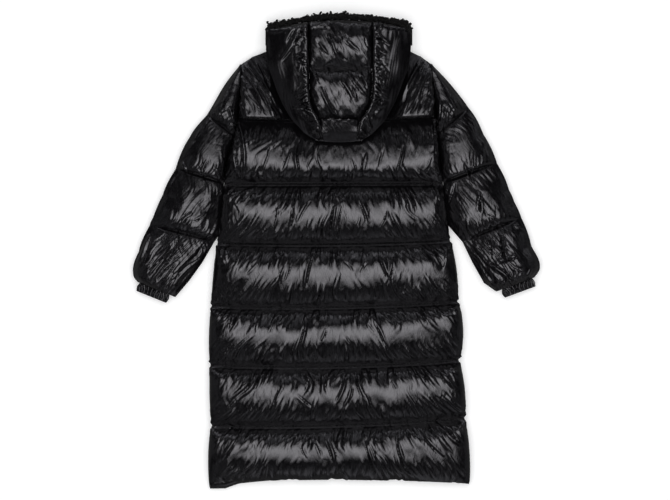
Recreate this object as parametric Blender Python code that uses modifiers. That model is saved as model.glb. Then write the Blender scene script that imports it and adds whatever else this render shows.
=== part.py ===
"""Long hooded puffer coat, laid face down on a flat surface with its back uppermost.

Run with: blender --background --python part.py

Sizes in the tables are millimetres: +X to the wearer's right, +Y from the hem towards the hood and +Z up.
The surface that the coat lies on is z = 0, and the origin is the middle of the coat's outline on it.
Every layer is a padded wall: one plain flat side and one shaped outer side. Front and back lie on each
other at FRONT_LEVEL, and the hood is folded down on the pressed back.
"""

import math

import bmesh
import bpy
from mathutils import Vector
from mathutils.geometry import intersect_point_line

MM = 0.001
LAYER_GAP = 0.3
SEAM_GAP = 0.35
EDGE_WALL = 1.5

# Levels where layers meet, and the loft (padded height) of each layer
FRONT_LEVEL = 30.0
BACK_LOFT = 42.0
SLEEVE_LOFT = 37.0
QUILT_SEAM_LOFT = 6.0
QUILT_FULLNESS = 2.4
SIDE_RADIUS = 42.0
BACK_COLUMNS = 40
SLEEVE_COLUMNS_EVEN = 6
FRONT_SIDE_RADIUS = 30.0
ARMHOLE_RADIUS = 30.0

HOOD_BASE = 54.3
HOOD_LEVEL = 74.0
HOOD_LOFT = 34.0
HOOD_SEAM_LOFT = 17.0
HOOD_SIDE_RADIUS = 38.0
HOOD_SEAM_RADIUS = 26.0
HOOD_OPENING_RADIUS = 20.0
HOOD_ROLL_RADIUS = 22.0
PRESS_MARGIN = 24.0
PRESS_SLOPE = 0.7

CHIN_LEVEL = 22.0
LINING_SPLIT = 44.0
LINING_RADIUS = 13.0
LINING_STEP = 4.0
CHIN_TOP_Y = 615.0
CHIN_TOP_FALL = 14.0
NECK_SEAM_Y = 554.0

CENTRE_X = 5.0
PLACKET_WIDTH = 60.0
PLACKET_THICKNESS = 5.7
PLACKET_FOOT_Y = -610.0
PLACKET_HEAD_Y = 452.0

CUFF_WIDTH = 97.0
CUFF_DEPTH = 24.0
CUFF_END_RADIUS = 9.5
CUFF_SLIT_RADIUS = 1.5
CUFF_GATHERS = 24
CUFF_GATHER_HEIGHT = 1.3
CUFF_LEVEL = 27.0
SAMPLES_PER_GATHER = 4

# Quilting rows of the body, hem to neck. "seam" rows are stitched through, "guide" rows only shape the
# outline. steps and the two bulges belong to the stretch above the row.
BODY_COLUMNS = "name kind left_x left_y mid_y right_x right_y bulge_left bulge_right steps"
BODY_ROWS = [
    ("hem", "seam", -341, -628, -620, 358, -630, 8, 8, 7),
    ("seam_6", "seam", -338, -475, -473, 347, -454, 4, 9, 7),
    ("seam_5", "seam", -342, -310, -314, 331, -297, 5, 14, 7),
    ("seam_4", "seam", -339, -150, -153, 328, -138, 3, 8, 7),
    ("seam_3", "seam", -323, 20, 17, 308, 27, 0, 0, 7),
    ("underarm", "seam", -305, 180, 181, 289, 182, 0, 0, 2),
    ("armhole_low", "guide", -297, 244, 244, 282, 244, 0, 0, 2),
    ("armhole_notch", "guide", -278, 309, 309, 275, 315, 0, 0, 2),
    ("yoke", "seam", -266, 357, 352, 269, 361, 0, 0, 3),
    ("armhole_high", "guide", -261, 433, 433, 263, 433, 0, 0, 3),
    ("shoulder_tip", "guide", -258, 504, 504, 256, 505, 0, 0, 1),
    ("shoulder_mid", "guide", -228, 524, 524, 228, 525, 0, 0, 1),
    ("shoulder_neck", "guide", -185, 541, 541, 196, 541, 0, 0, 1),
    ("neck", "guide", -126, 554, 554, 139, 554, 0, 0, 0),
]
FRONT_HEM = ("hem", "seam", -343, -642.6, -616, 360, -634, 8, 8, 7)

# Front neckline: half its width at each height. The same heights are the front's top rows.
NECKLINE = [(480, 0.15), (481, 50), (494, 76), (504, 88), (524, 104), (541, 112), (554, 118)]

# Rows across a sleeve from its outer edge to its inner edge. Down to the underarm the inner edge is the
# armhole's, so only the outer point is given there.
SLEEVE_COLUMNS = "name kind outer_x outer_y inner_x inner_y bulge steps"
LEFT_SLEEVE = [
    ("tip", "guide", -265, 498, None, None, 0, 4),
    ("upper", "guide", -304, 447, None, None, 0, 4),
    ("seam_1", "seam", -351, 367, None, None, 3, 2),
    ("mid", "guide", -398, 306, None, None, 3, 2),
    ("seam_2", "seam", -436, 221, None, None, 3, 3),
    ("elbow", "guide", -471, 150, -319, 99, 2, 3),
    ("seam_3", "seam", -506, 68, -332, 24, 3, 3),
    ("forearm", "guide", -536, -4, -363, -31, 3, 3),
    ("wrist", "guide", -551, -61, -398, -80, 0, 2),
    ("end", "seam", -539, -85, -437, -126, 0, 0),
]
RIGHT_SLEEVE = [
    ("tip", "guide", 263, 499, None, None, 0, 4),
    ("upper", "guide", 309, 450, None, None, 0, 4),
    ("seam_1", "seam", 358, 386, None, None, 3, 2),
    ("mid", "guide", 398, 315, None, None, 3, 2),
    ("seam_2", "seam", 435, 236, None, None, 3, 3),
    ("elbow", "guide", 468, 163, 312, 104, 2, 3),
    ("seam_3", "seam", 501, 88, 343, 23, 3, 3),
    ("forearm", "guide", 528, 12, 368, -31, 3, 3),
    ("wrist", "guide", 551, -43, 400, -88, 0, 2),
    ("end", "seam", 536, -73, 433, -111, 0, 0),
]

# Rows of the folded hood, crown roll to face opening. The two seams join the centre strip to the sides.
HOOD_COLUMNS = "y outer_left seam_left seam_right outer_right quilted"
HOOD_ROWS = [
    (296, -50, -35, 54, 66, True),
    (312, -81, -38, 57, 93, False),
    (331, -101, -42, 59, 113, False),
    (352, -120, -47, 65, 131, True),
    (374, -134, -59, 80, 144, False),
    (398, -147, -67, 90, 157, False),
    (426, -159, -71, 95, 169, False),
    (456, -170, -72, 96, 180, False),
    (487, -181, -73, 96, 192, True),
    (507, -186, -73, 96, 196, False),
    (530, -189, -73, 96, 199, False),
    (553, -190, -73, 96, 200, False),
    (575, -189, -74, 96, 199, False),
]
# Rows up to the edge of the hood and of its lining, as shares of the way there
EDGE_SHARES = (0.0, 0.5, 0.8, 1.0)
LINING_SHARES = (0.0, 0.3, 0.6, 0.78, 0.91, 1.0)
HOOD_EDGE = [(-188, 593), (-130, 606), (-74, 616), (10, 622), (96, 616), (150, 608), (197, 598)]

# Outline of the shearling at the face opening, left to right, and of the chin part under it
SHEARLING_EDGE = [(-192, 601), (-183, 616), (-113, 628), (-43, 641), (20, 643),
                  (66, 639), (116, 633), (188, 624), (200, 613), (205, 600)]
CHIN_SIDES = [(563, 140), (575, 160), (588, 170)]

# The largest creases of the quilted channels: soft troughs in the outer side. turn is in degrees from +X.
FOLD_COLUMNS = "x y turn length width depth"
BODY_FOLDS = [
    (-196, 432, 124, 150, 14, 7),
    (-226, 425, 121, 120, 12, 5),
    (222, 452, 66, 130, 14, 7),
    (-99, 250, 90, 80, 12, 6),
    (-250, 222, 88, 90, 13, 7),
    (78, 228, 68, 70, 12, 5),
    (-12, 88, 80, 85, 12, 6),
    (72, 104, 110, 75, 12, 5),
    (262, 146, 88, 90, 14, 8),
    (-70, -53, 77, 100, 13, 7),
    (124, -55, 97, 90, 13, 6),
    (268, -22, 124, 90, 14, 7),
    (-272, -190, 64, 90, 14, 7),
    (13, -388, 84, 100, 14, 7),
    (-161, -393, 60, 75, 12, 5),
    (268, -505, 133, 120, 14, 8),
    (-286, -525, 58, 120, 14, 8),
]
SLEEVE_FOLDS = [
    (-288, 342, 75, 80, 12, 7),
    (-318, 232, 88, 80, 12, 6),
    (-392, 236, 70, 80, 13, 6),
    (-468, 40, 62, 90, 13, 7),
    (292, 345, 104, 80, 12, 7),
    (372, 110, 100, 90, 13, 6),
    (470, 52, 118, 90, 13, 7),
]


def rows_of(columns, table):
    """Each tuple of the table as a dict keyed by its column names."""
    return [dict(zip(columns.split(), row)) for row in table]


def lerp(a, b, t):
    return a + (b - a) * t


def quarter_round(distance, radius):
    """0 at an edge, rising as a quarter circle to 1 at the radius."""
    t = min(max(distance / radius, 0.0), 1.0)
    return math.sqrt(1.0 - (1.0 - t) ** 2)


def quilt(v):
    """Height of a padded channel across its width: 0 at the stitching (v = 0 and 1), 1 at its crest."""
    v = min(max(v, 0.0), 1.0)
    return 1.0 - abs(2.0 * v - 1.0) ** QUILT_FULLNESS


def path_distance(point, path):
    """Distance from a point to a polyline, all in plan."""
    here = Vector(point).to_3d()
    best = math.inf
    for start, end in zip(path, path[1:]):
        a, b = Vector(start).to_3d(), Vector(end).to_3d()
        foot, t = intersect_point_line(here, a, b)
        foot = a if t < 0 else b if t > 1 else foot
        best = min(best, (here - foot).length)
    return best


def inside(point, outline):
    """Whether a point lies within a closed outline, in plan."""
    x, y = point
    found = False
    for (ax, ay), (bx, by) in zip(outline, outline[1:] + outline[:1]):
        if (ay > y) != (by > y) and x < ax + (y - ay) / (by - ay) * (bx - ax):
            found = not found
    return found


def along(path, x):
    """Height of a left-to-right polyline at x."""
    for (ax, ay), (bx, by) in zip(path, path[1:]):
        if x <= bx:
            return lerp(ay, by, max(0.0, (x - ax) / (bx - ax)))
    return path[-1][1]


def fold_depth(point, folds):
    """Depth of the soft troughs at a point."""
    depth = 0.0
    for fold in folds:
        turn = math.radians(fold["turn"])
        dx, dy = point[0] - fold["x"], point[1] - fold["y"]
        run = (dx * math.cos(turn) + dy * math.sin(turn)) / (fold["length"] / 2)
        across = (dy * math.cos(turn) - dx * math.sin(turn)) / fold["width"]
        if abs(run) < 1.0:
            depth += fold["depth"] * (1.0 - run * run) ** 2 * math.exp(-across * across)
    return depth


def channel_steps(count):
    """Fractions across a channel, closer together near both stitch lines."""
    return [0.5 - 0.5 * math.cos(math.pi * i / count) for i in range(count)]


def edge_columns(width, radius, middle, both=True):
    """Fractions across a row: close together over each rounded edge, even between them."""
    rounded = [radius * (1.0 - math.cos(math.radians(a))) / width for a in (0, 22, 44, 67, 90)]
    far = 1.0 - rounded[-1] if both else 1.0
    even = [lerp(rounded[-1], far, i / middle) for i in range(1, middle)]
    return rounded + even + ([1.0 - t for t in reversed(rounded)] if both else [1.0])


# --- Body outline -------------------------------------------------------------------------------------------


def body_rows(hem=BODY_ROWS[0]):
    """The body's rows from hem to neck, subdivided. Each has its end points and its height in the middle."""
    table = rows_of(BODY_COLUMNS, [hem] + BODY_ROWS[1:])
    rows = []
    for low, high in zip(table, table[1:]):
        count = low["steps"]
        quilted = low["kind"] == high["kind"] == "seam"
        steps = channel_steps(count) if quilted else [i / count for i in range(count)]
        for t in steps:
            puff = math.sin(math.pi * t)
            rows.append({
                "name": low["name"] if t == 0 else "",
                "left": (lerp(low["left_x"], high["left_x"], t) - low["bulge_left"] * puff,
                         lerp(low["left_y"], high["left_y"], t)),
                "right": (lerp(low["right_x"], high["right_x"], t) + low["bulge_right"] * puff,
                          lerp(low["right_y"], high["right_y"], t)),
                "mid_y": lerp(low["mid_y"], high["mid_y"], t),
            })
    last = table[-1]
    rows.append({"name": last["name"], "left": (last["left_x"], last["left_y"]),
                 "right": (last["right_x"], last["right_y"]), "mid_y": last["mid_y"]})
    return rows


def row_y(row, x):
    """A row's height at x, on the parabola through its left end, middle and right end."""
    (left_x, left_y), (right_x, right_y) = row["left"], row["right"]
    t = (x - left_x) / (right_x - left_x)
    chord = lerp(left_y, right_y, t)
    return chord + (row["mid_y"] - (left_y + right_y) / 2) * 4 * t * (1 - t)


def channel_place(x, y, seams):
    """Where (x, y) lies across its channel, 0 to 1. Above the last seam it stays at the crest."""
    heights = [row_y(seam, x) for seam in seams]
    for low, high in zip(heights, heights[1:]):
        if y <= high + 1e-6:
            return (y - low) / (high - low)
    return min(0.5, (y - heights[-1]) / (heights[-1] - heights[-2]))


ROWS = body_rows()
SEAM_NAMES = [row[0] for row in BODY_ROWS if row[1] == "seam"]
SEAMS = [row for row in ROWS if row["name"] in SEAM_NAMES]
NAMES = [row["name"] for row in ROWS]
UNDERARM = NAMES.index("underarm")
SHOULDER = NAMES.index("shoulder_tip")


def side_paths(rows, side):
    """The free edges of one side (hem to underarm, and along the shoulder) and its armhole."""
    points = [row[side] for row in rows]
    return [points[:UNDERARM + 1], points[SHOULDER:]], points[UNDERARM:SHOULDER + 1]


def hood_sides():
    """The hood's left and right edges from the crown roll to the face opening."""
    rows = rows_of(HOOD_COLUMNS, HOOD_ROWS)
    left = [(row["outer_left"], row["y"]) for row in rows] + HOOD_EDGE[:1]
    right = [(row["outer_right"], row["y"]) for row in rows] + HOOD_EDGE[-1:]
    return left, right


def hood_outline():
    """The folded hood's closed outline, in plan."""
    left, right = hood_sides()
    return left + HOOD_EDGE[1:-1] + right[::-1]


def body_loft(point, free_paths, armholes, folds, outline):
    """Padded height of the back: channels, rounded sides, armhole seams, folds, and where the hood presses."""
    channel = quilt(channel_place(*point, SEAMS))
    loft = lerp(QUILT_SEAM_LOFT, BACK_LOFT, channel)
    to_armhole = min(path_distance(point, path) for path in armholes)
    loft = lerp(QUILT_SEAM_LOFT, loft, quarter_round(to_armhole, ARMHOLE_RADIUS))
    loft = max(QUILT_SEAM_LOFT, loft - fold_depth(point, folds))
    pressed = HOOD_BASE - LAYER_GAP - FRONT_LEVEL
    if not inside(point, outline):
        away = path_distance(point, outline + outline[:1])
        pressed += PRESS_SLOPE * max(0.0, away - PRESS_MARGIN)
    loft = min(loft, pressed)
    to_edge = min(path_distance(point, path) for path in free_paths)
    return max(EDGE_WALL, loft * quarter_round(to_edge, SIDE_RADIUS))


# --- Mesh building ------------------------------------------------------------------------------------------


def panel(name, grid, loft, level, material, up=True):
    """A padded layer on a grid of plan points: one outer side shaped by loft, one plain side at level."""
    rows, columns = len(grid), len(grid[0])
    mesh = bmesh.new()
    bmesh.ops.create_grid(mesh, x_segments=columns - 1, y_segments=rows - 1, size=1.0)
    way = 1 if up else -1
    for vert in mesh.verts:
        column = round((vert.co.x + 1) / 2 * (columns - 1))
        row = round((vert.co.y + 1) / 2 * (rows - 1))
        x, y = grid[row][column]
        vert.co = Vector((x, y, level + way * loft((x, y)))) * MM
    rim = [edge for edge in mesh.edges if edge.is_boundary]
    made = bmesh.ops.extrude_edge_only(mesh, edges=rim)["geom"]
    for vert in made:
        if isinstance(vert, bmesh.types.BMVert):
            vert.co.z = level * MM
    bmesh.ops.edgeloop_fill(mesh, edges=[edge for edge in mesh.edges if edge.is_boundary])
    bmesh.ops.recalc_face_normals(mesh, faces=mesh.faces)
    add_object(name, mesh, material)


def add_object(name, mesh, material):
    data = bpy.data.meshes.new(name)
    mesh.to_mesh(data)
    mesh.free()
    data.materials.append(material)
    data.shade_smooth()
    data.set_sharp_from_angle(angle=math.radians(40))
    piece = bpy.data.objects.new(name, data)
    COAT.objects.link(piece)
    return piece


def make_material(name, colour, roughness):
    material = bpy.data.materials.new(name)
    material.use_nodes = True
    shader = material.node_tree.nodes["Principled BSDF"]
    shader.inputs["Base Color"].default_value = (*colour, 1.0)
    shader.inputs["Roughness"].default_value = roughness
    shader.inputs["Metallic"].default_value = 0.0
    return material


# --- Coat body ----------------------------------------------------------------------------------------------


def make_back(shell):
    free, armholes = [], []
    for side in ("left", "right"):
        side_free, armhole = side_paths(ROWS, side)
        free += side_free
        armholes.append(armhole)
    grid = []
    for row in ROWS:
        left_x, right_x = row["left"][0], row["right"][0]
        fractions = edge_columns(right_x - left_x, SIDE_RADIUS, BACK_COLUMNS)
        xs = [lerp(left_x, right_x, t) for t in fractions]
        grid.append([(x, row_y(row, x)) for x in xs])
    folds, outline = rows_of(FOLD_COLUMNS, BODY_FOLDS), hood_outline()
    panel("back", grid, lambda p: body_loft(p, free, armholes, folds, outline), FRONT_LEVEL, shell)


def front_rows():
    """Rows of the front: the body's up to the armhole, then level rows that follow the neckline."""
    rows = [row for row in body_rows(FRONT_HEM) if row["left"][1] < PLACKET_HEAD_Y - 10]
    for y in [459] + [y for y, _ in NECKLINE]:
        edges = {side: [row[side][::-1] for row in ROWS[UNDERARM:]] for side in ("left", "right")}
        ends = {side: (along(edge, y), y) for side, edge in edges.items()}
        rows.append({"name": "", "mid_y": y, **ends})
    return rows


def make_front(side, shell):
    """One front: from the side edge to the centre line, or to the neckline above it."""
    way = -1 if side == "left" else 1
    rows = front_rows()
    edge = [row[side] for row in rows]
    free = [edge[:UNDERARM + 1], [point for point in edge if point[1] >= ROWS[SHOULDER][side][1] - 1]]
    neck_foot = NECKLINE[0][0]
    channel = PLACKET_WIDTH / 2 + SEAM_GAP
    grid = []
    for row in rows:
        outer_x, y = row[side]
        inner_x = CENTRE_X + way * along(NECKLINE, y)
        width = abs(inner_x - outer_x)
        fractions = edge_columns(width, min(FRONT_SIDE_RADIUS, width / 2), 3, both=False)[:-1]
        if y <= neck_foot:
            fractions += [1 - (channel + 1) / width, 1 - channel / width, 1.0]
        else:
            fractions += [lerp(fractions[-1], 1, t) for t in (1 / 3, 2 / 3, 1)]
        xs = [lerp(outer_x, inner_x, t) for t in fractions]
        grid.append([(x, row_y(row, x)) for x in xs])
    full = FRONT_LEVEL - LAYER_GAP

    def loft(point):
        to_edge = min(path_distance(point, path) for path in free)
        height = max(EDGE_WALL, full * quarter_round(to_edge, FRONT_SIDE_RADIUS))
        let_in = abs(point[0] - CENTRE_X) < channel + 0.5 and point[1] < neck_foot - 1
        return min(height, full - PLACKET_THICKNESS - LAYER_GAP) if let_in else height

    panel("front_" + side, grid, loft, full, shell, up=False)


def make_placket(shell):
    """The strip that covers the closure, let in flush with the underside of both fronts."""
    mesh = bmesh.new()
    bmesh.ops.create_cube(mesh, size=1.0)
    length = PLACKET_HEAD_Y - PLACKET_FOOT_Y
    middle = Vector((CENTRE_X, (PLACKET_HEAD_Y + PLACKET_FOOT_Y) / 2, PLACKET_THICKNESS / 2))
    for vert in mesh.verts:
        size = Vector((PLACKET_WIDTH, length, PLACKET_THICKNESS))
        vert.co = (vert.co * size + middle) * MM
    placket = add_object("front_placket", mesh, shell)
    bevel = placket.modifiers.new("soft edges", "BEVEL")
    bevel.width = 1.5 * MM
    bevel.segments = 2


# --- Sleeves ------------------------------------------------------------------------------------------------


def sleeve_rows(table, side):
    """Rows across a sleeve from shoulder to wrist. Down to the underarm the inner ends lie on the armhole."""
    way = -1 if side == "left" else 1
    armhole = [(x + way * SEAM_GAP, y) for x, y in side_paths(ROWS, side)[1][::-1]]
    stations = rows_of(SLEEVE_COLUMNS, table)
    rows = []
    for first, second in zip(stations, stations[1:]):
        for step in range(first["steps"]):
            t = step / first["steps"]
            puff = first["bulge"] * math.sin(math.pi * t)
            outer = (lerp(first["outer_x"], second["outer_x"], t) + way * puff,
                     lerp(first["outer_y"], second["outer_y"], t))
            if len(rows) < len(armhole):
                inner = armhole[len(rows)]
            else:
                start = armhole[-1] if first["inner_x"] is None else (first["inner_x"], first["inner_y"])
                inner = (lerp(start[0], second["inner_x"], t), lerp(start[1], second["inner_y"], t))
            rows.append({"name": first["name"] if step == 0 else "", "outer": outer, "inner": inner})
    end = stations[-1]
    rows.append({"name": "end", "outer": (end["outer_x"], end["outer_y"]),
                 "inner": (end["inner_x"], end["inner_y"])})
    return rows


def sleeve_channel_place(number, seam_at):
    """Where a row lies across its channel, 0 to 1. Above the first seam it reaches the crest and stays there."""
    if number < seam_at[0]:
        return max(0.5, number / seam_at[0])
    for before, after in zip(seam_at, seam_at[1:]):
        if number < after:
            return (number - before) / (after - before)
    return 1.0


def make_sleeve(table, side, shell):
    """A sleeve's two layers, back over front, each a padded wall with a plain side at the shared level."""
    rows = sleeve_rows(table, side)
    names = [row["name"] for row in rows]
    seam_at = [names.index(name) for name in ("seam_1", "seam_2", "seam_3", "end")]
    underarm = names.index("seam_2")
    outer = [row["outer"] for row in rows]
    inner = [row["inner"] for row in rows]
    free = [outer, inner[underarm:]]
    armhole = inner[:underarm + 1]
    folds = rows_of(FOLD_COLUMNS, SLEEVE_FOLDS)
    grid, places = [], {}
    for number, row in enumerate(rows):
        (ax, ay), (bx, by) = row["outer"], row["inner"]
        width = math.hypot(bx - ax, by - ay)
        fractions = edge_columns(width, min(SIDE_RADIUS, width * 0.45), SLEEVE_COLUMNS_EVEN)
        line = [(lerp(ax, bx, t), lerp(ay, by, t)) for t in fractions]
        places.update({point: sleeve_channel_place(number, seam_at) for point in line})
        grid.append(line)

    def back_loft(point):
        loft = lerp(QUILT_SEAM_LOFT, SLEEVE_LOFT, quilt(places[point]))
        to_armhole = path_distance(point, armhole)
        loft = lerp(QUILT_SEAM_LOFT, loft, quarter_round(to_armhole, ARMHOLE_RADIUS))
        loft = max(QUILT_SEAM_LOFT, loft - fold_depth(point, folds))
        to_edge = min(path_distance(point, path) for path in free)
        return max(EDGE_WALL, loft * quarter_round(to_edge, SIDE_RADIUS))

    full = FRONT_LEVEL - LAYER_GAP
    wrist = [rows[-1]["outer"], rows[-1]["inner"]]

    def front_loft(point):
        to_edge = min(path_distance(point, path) for path in free + [wrist])
        return max(EDGE_WALL, full * quarter_round(to_edge, FRONT_SIDE_RADIUS))

    panel(f"sleeve_{side}_back", grid, back_loft, FRONT_LEVEL, shell)
    panel(f"sleeve_{side}_front", grid, front_loft, full, shell, up=False)
    return rows[-1]


def make_cuff(side, end, shell):
    """A gathered elastic cuff: a flattened tube with a thin slit, standing on the sleeve's end."""
    (ax, ay), (bx, by) = end["outer"], end["inner"]
    across = Vector((bx - ax, by - ay)).normalized()
    outward = Vector((across.y, -across.x))
    if outward.y > 0:
        outward.negate()
    middle = Vector((ax, ay)) + across * (CUFF_WIDTH / 2 + 1.0)
    straight = CUFF_WIDTH / 2 - CUFF_END_RADIUS
    round_part = math.pi * CUFF_END_RADIUS
    girth = 4 * straight + 2 * round_part
    count = CUFF_GATHERS * SAMPLES_PER_GATHER

    def section(radius_at, depth):
        """One loop of the tube: a slot shape, offset by its radius, at a depth from the sleeve's end."""
        loop = []
        for i in range(count):
            s = girth * i / count
            side_run = 2 * straight + round_part
            flip = 1 if s < side_run else -1
            s %= side_run
            if s < 2 * straight:
                centre, normal = s - straight, (0.0, 1.0)
            else:
                turn = (s - 2 * straight) / CUFF_END_RADIUS
                centre, normal = straight, (math.sin(turn), math.cos(turn))
            radius = radius_at(i)
            u = flip * (centre + radius * normal[0])
            z = CUFF_LEVEL + flip * radius * normal[1]
            place = middle + across * u + outward * depth
            loop.append(Vector((place.x, place.y, z)) * MM)
        return loop

    def gathered(share):
        height = CUFF_GATHER_HEIGHT * share
        return lambda i: CUFF_END_RADIUS - CUFF_GATHER_HEIGHT + height * math.cos(
            2 * math.pi * i / SAMPLES_PER_GATHER)

    depths = [(SEAM_GAP, 0.6), (CUFF_DEPTH * 0.35, 1.0), (CUFF_DEPTH * 0.8, 1.0), (CUFF_DEPTH, 0.3)]
    loops = [section(gathered(share), depth) for depth, share in depths]
    loops += [section(lambda i: CUFF_SLIT_RADIUS, depth) for depth in (CUFF_DEPTH, SEAM_GAP)]
    mesh = bmesh.new()
    rings = [[mesh.verts.new(point) for point in loop] for loop in loops]
    for ring, following in zip(rings, rings[1:] + rings[:1]):
        for i in range(count):
            j = (i + 1) % count
            mesh.faces.new((ring[i], ring[j], following[j], following[i]))
    bmesh.ops.recalc_face_normals(mesh, faces=mesh.faces)
    add_object("cuff_" + side, mesh, shell)


# --- Hood ---------------------------------------------------------------------------------------------------


def finer(rows):
    """The hood's rows with one more between each pair."""
    between = [{key: (low[key] + high[key]) / 2 for key in low} for low, high in zip(rows, rows[1:])]
    return [row for pair in zip(rows, between) for row in pair] + rows[-1:]


def make_hood_shell(shell):
    """The hood's visible outside: a quilted centre strip between two plain sides."""
    rows = rows_of(HOOD_COLUMNS, HOOD_ROWS)
    left, right = hood_sides()
    free = [left, right, [left[0], right[0]]]
    last = rows[-1]
    seams = [[(row[key], row["y"]) for row in rows] + [(last[key], along(HOOD_EDGE, last[key]))]
             for key in ("seam_left", "seam_right")]
    quilted = [row["y"] for row in rows if row["quilted"]]

    def loft(point, strip):
        x, y = point
        height = HOOD_LOFT
        if strip:
            lines = quilted + [along(HOOD_EDGE, x) + 2 * HOOD_OPENING_RADIUS]
            low = max([line for line in lines[:-1] if line <= y + 1e-6])
            high = lines[lines.index(low) + 1]
            height = lerp(HOOD_SEAM_LOFT, HOOD_LOFT, quilt((y - low) / (high - low)))
        to_seam = min(path_distance(point, path) for path in seams)
        height = lerp(HOOD_SEAM_LOFT, height, quarter_round(to_seam, HOOD_SEAM_RADIUS))
        to_edge = min(path_distance(point, path) for path in free)
        to_opening = path_distance(point, HOOD_EDGE)
        height *= quarter_round(to_edge, HOOD_SIDE_RADIUS)
        return max(EDGE_WALL, height * quarter_round(to_opening, HOOD_OPENING_RADIUS))

    strips = [
        ("hood_left", "outer_left", "seam_left", HOOD_EDGE[0][0], -SEAM_GAP, False),
        ("hood_centre", "seam_left", "seam_right", last["seam_left"], 0.0, True),
        ("hood_right", "outer_right", "seam_right", HOOD_EDGE[-1][0], SEAM_GAP, False),
    ]
    for name, first, second, edge_x, shift, strip in strips:
        lines = [(row[first], row[second] + shift, row["y"], 0.0) for row in finer(rows)[:-1]]
        lines += [(lerp(last[first], edge_x, t), last[second] + shift, last["y"], t) for t in EDGE_SHARES]
        grid = []
        for start, end, y, share in lines:
            width = abs(end - start)
            fractions = edge_columns(width, min(HOOD_SIDE_RADIUS, width * 0.4), 2)
            xs = [lerp(start, end, t) for t in fractions]
            grid.append([(x, lerp(y, along(HOOD_EDGE, x), share)) for x in xs])
        panel(name, grid, lambda p, s=strip: loft(p, s), HOOD_LEVEL + LAYER_GAP, shell)


def make_hood_under(shell):
    """The hood's hidden layers as one rounded solid between the pressed back and the visible shell."""
    rows = [row for row in rows_of(HOOD_COLUMNS, HOOD_ROWS) if row["y"] < NECK_SEAM_Y]
    left, right = hood_sides()
    free = [left, right, [left[0], right[0]]]
    grid = []
    for row in finer(rows):
        ends = row["outer_left"], row["outer_right"]
        fractions = edge_columns(ends[1] - ends[0], HOOD_ROLL_RADIUS, 4)
        grid.append([(lerp(*ends, t), row["y"]) for t in fractions])
    full = HOOD_LEVEL - HOOD_BASE

    def loft(point):
        to_edge = min(path_distance(point, path) for path in free)
        return max(EDGE_WALL, full * quarter_round(to_edge, HOOD_ROLL_RADIUS))

    panel("hood_under", grid, loft, HOOD_LEVEL, shell, up=False)


def make_lining(shearling):
    """Both layers of shearling at the face opening, pressed together."""
    foot = NECK_SEAM_Y + 2 * SEAM_GAP
    (left_x, _), (right_x, _) = SHEARLING_EDGE[0], SHEARLING_EDGE[-1]
    levels = [("hood_lining_front", LINING_SPLIT, CHIN_LEVEL + LAYER_GAP, 0.0, False),
              ("hood_lining_back", LINING_SPLIT + LAYER_GAP, HOOD_LEVEL, LINING_STEP, True)]
    for name, level, far_level, inset, up in levels:
        full = abs(far_level - level)
        edge = [(x, y - inset) for x, y in SHEARLING_EDGE]
        free = [(left_x, foot)] + edge + [(right_x, foot)]
        xs = [lerp(left_x, right_x, t) for t in edge_columns(right_x - left_x, LINING_RADIUS, 8)]
        grid = [[(x, lerp(foot, along(edge, x), share)) for x in xs] for share in LINING_SHARES]

        def loft(point, full=full, free=free):
            return max(EDGE_WALL, full * quarter_round(path_distance(point, free), LINING_RADIUS))

        panel(name, grid, loft, level, shearling, up=up)


def chin_top(t):
    """Height of the chin part's free edge, t from -1 to 1 across it."""
    return CHIN_TOP_Y - CHIN_TOP_FALL * t * t


def make_chin(shell):
    """The hood's chin part, which stands on the front neckline and lies on the surface."""
    rows = [(y + SEAM_GAP, half - 2 * SEAM_GAP) for y, half in NECKLINE[1:]] + CHIN_SIDES
    last_y, last_half = rows[-1]
    lines = [(y, half, 0.0) for y, half in rows] + [(last_y, last_half, t) for t in (0.4, 0.75, 1)]
    grid = []
    for y, half, share in lines:
        turns = [2 * t - 1 for t in edge_columns(2 * half, LINING_RADIUS, 6)]
        grid.append([(CENTRE_X + half * t, lerp(y, chin_top(t), share)) for t in turns])
    neck_rows = len(NECKLINE) - 1
    free = [line[0] for line in grid[neck_rows:]] + grid[-1] + [line[-1] for line in grid[neck_rows:]][::-1]

    def loft(point):
        return max(EDGE_WALL, CHIN_LEVEL * quarter_round(path_distance(point, free), LINING_RADIUS))

    panel("hood_chin", grid, loft, CHIN_LEVEL, shell, up=False)


def main():
    shell = make_material("glossy black nylon", (0.012, 0.012, 0.014), 0.28)
    shearling = make_material("black shearling", (0.010, 0.009, 0.009), 0.95)
    make_back(shell)
    make_front("left", shell)
    make_front("right", shell)
    make_placket(shell)
    for table, side in ((LEFT_SLEEVE, "left"), (RIGHT_SLEEVE, "right")):
        end = make_sleeve(table, side, shell)
        make_cuff(side, end, shell)
    make_hood_under(shell)
    make_hood_shell(shell)
    make_lining(shearling)
    make_chin(shell)


for leftover in list(bpy.data.objects):
    bpy.data.objects.remove(leftover)
COAT = bpy.data.collections.new("long puffer coat")
bpy.context.scene.collection.children.link(COAT)
main()
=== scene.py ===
import math

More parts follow.
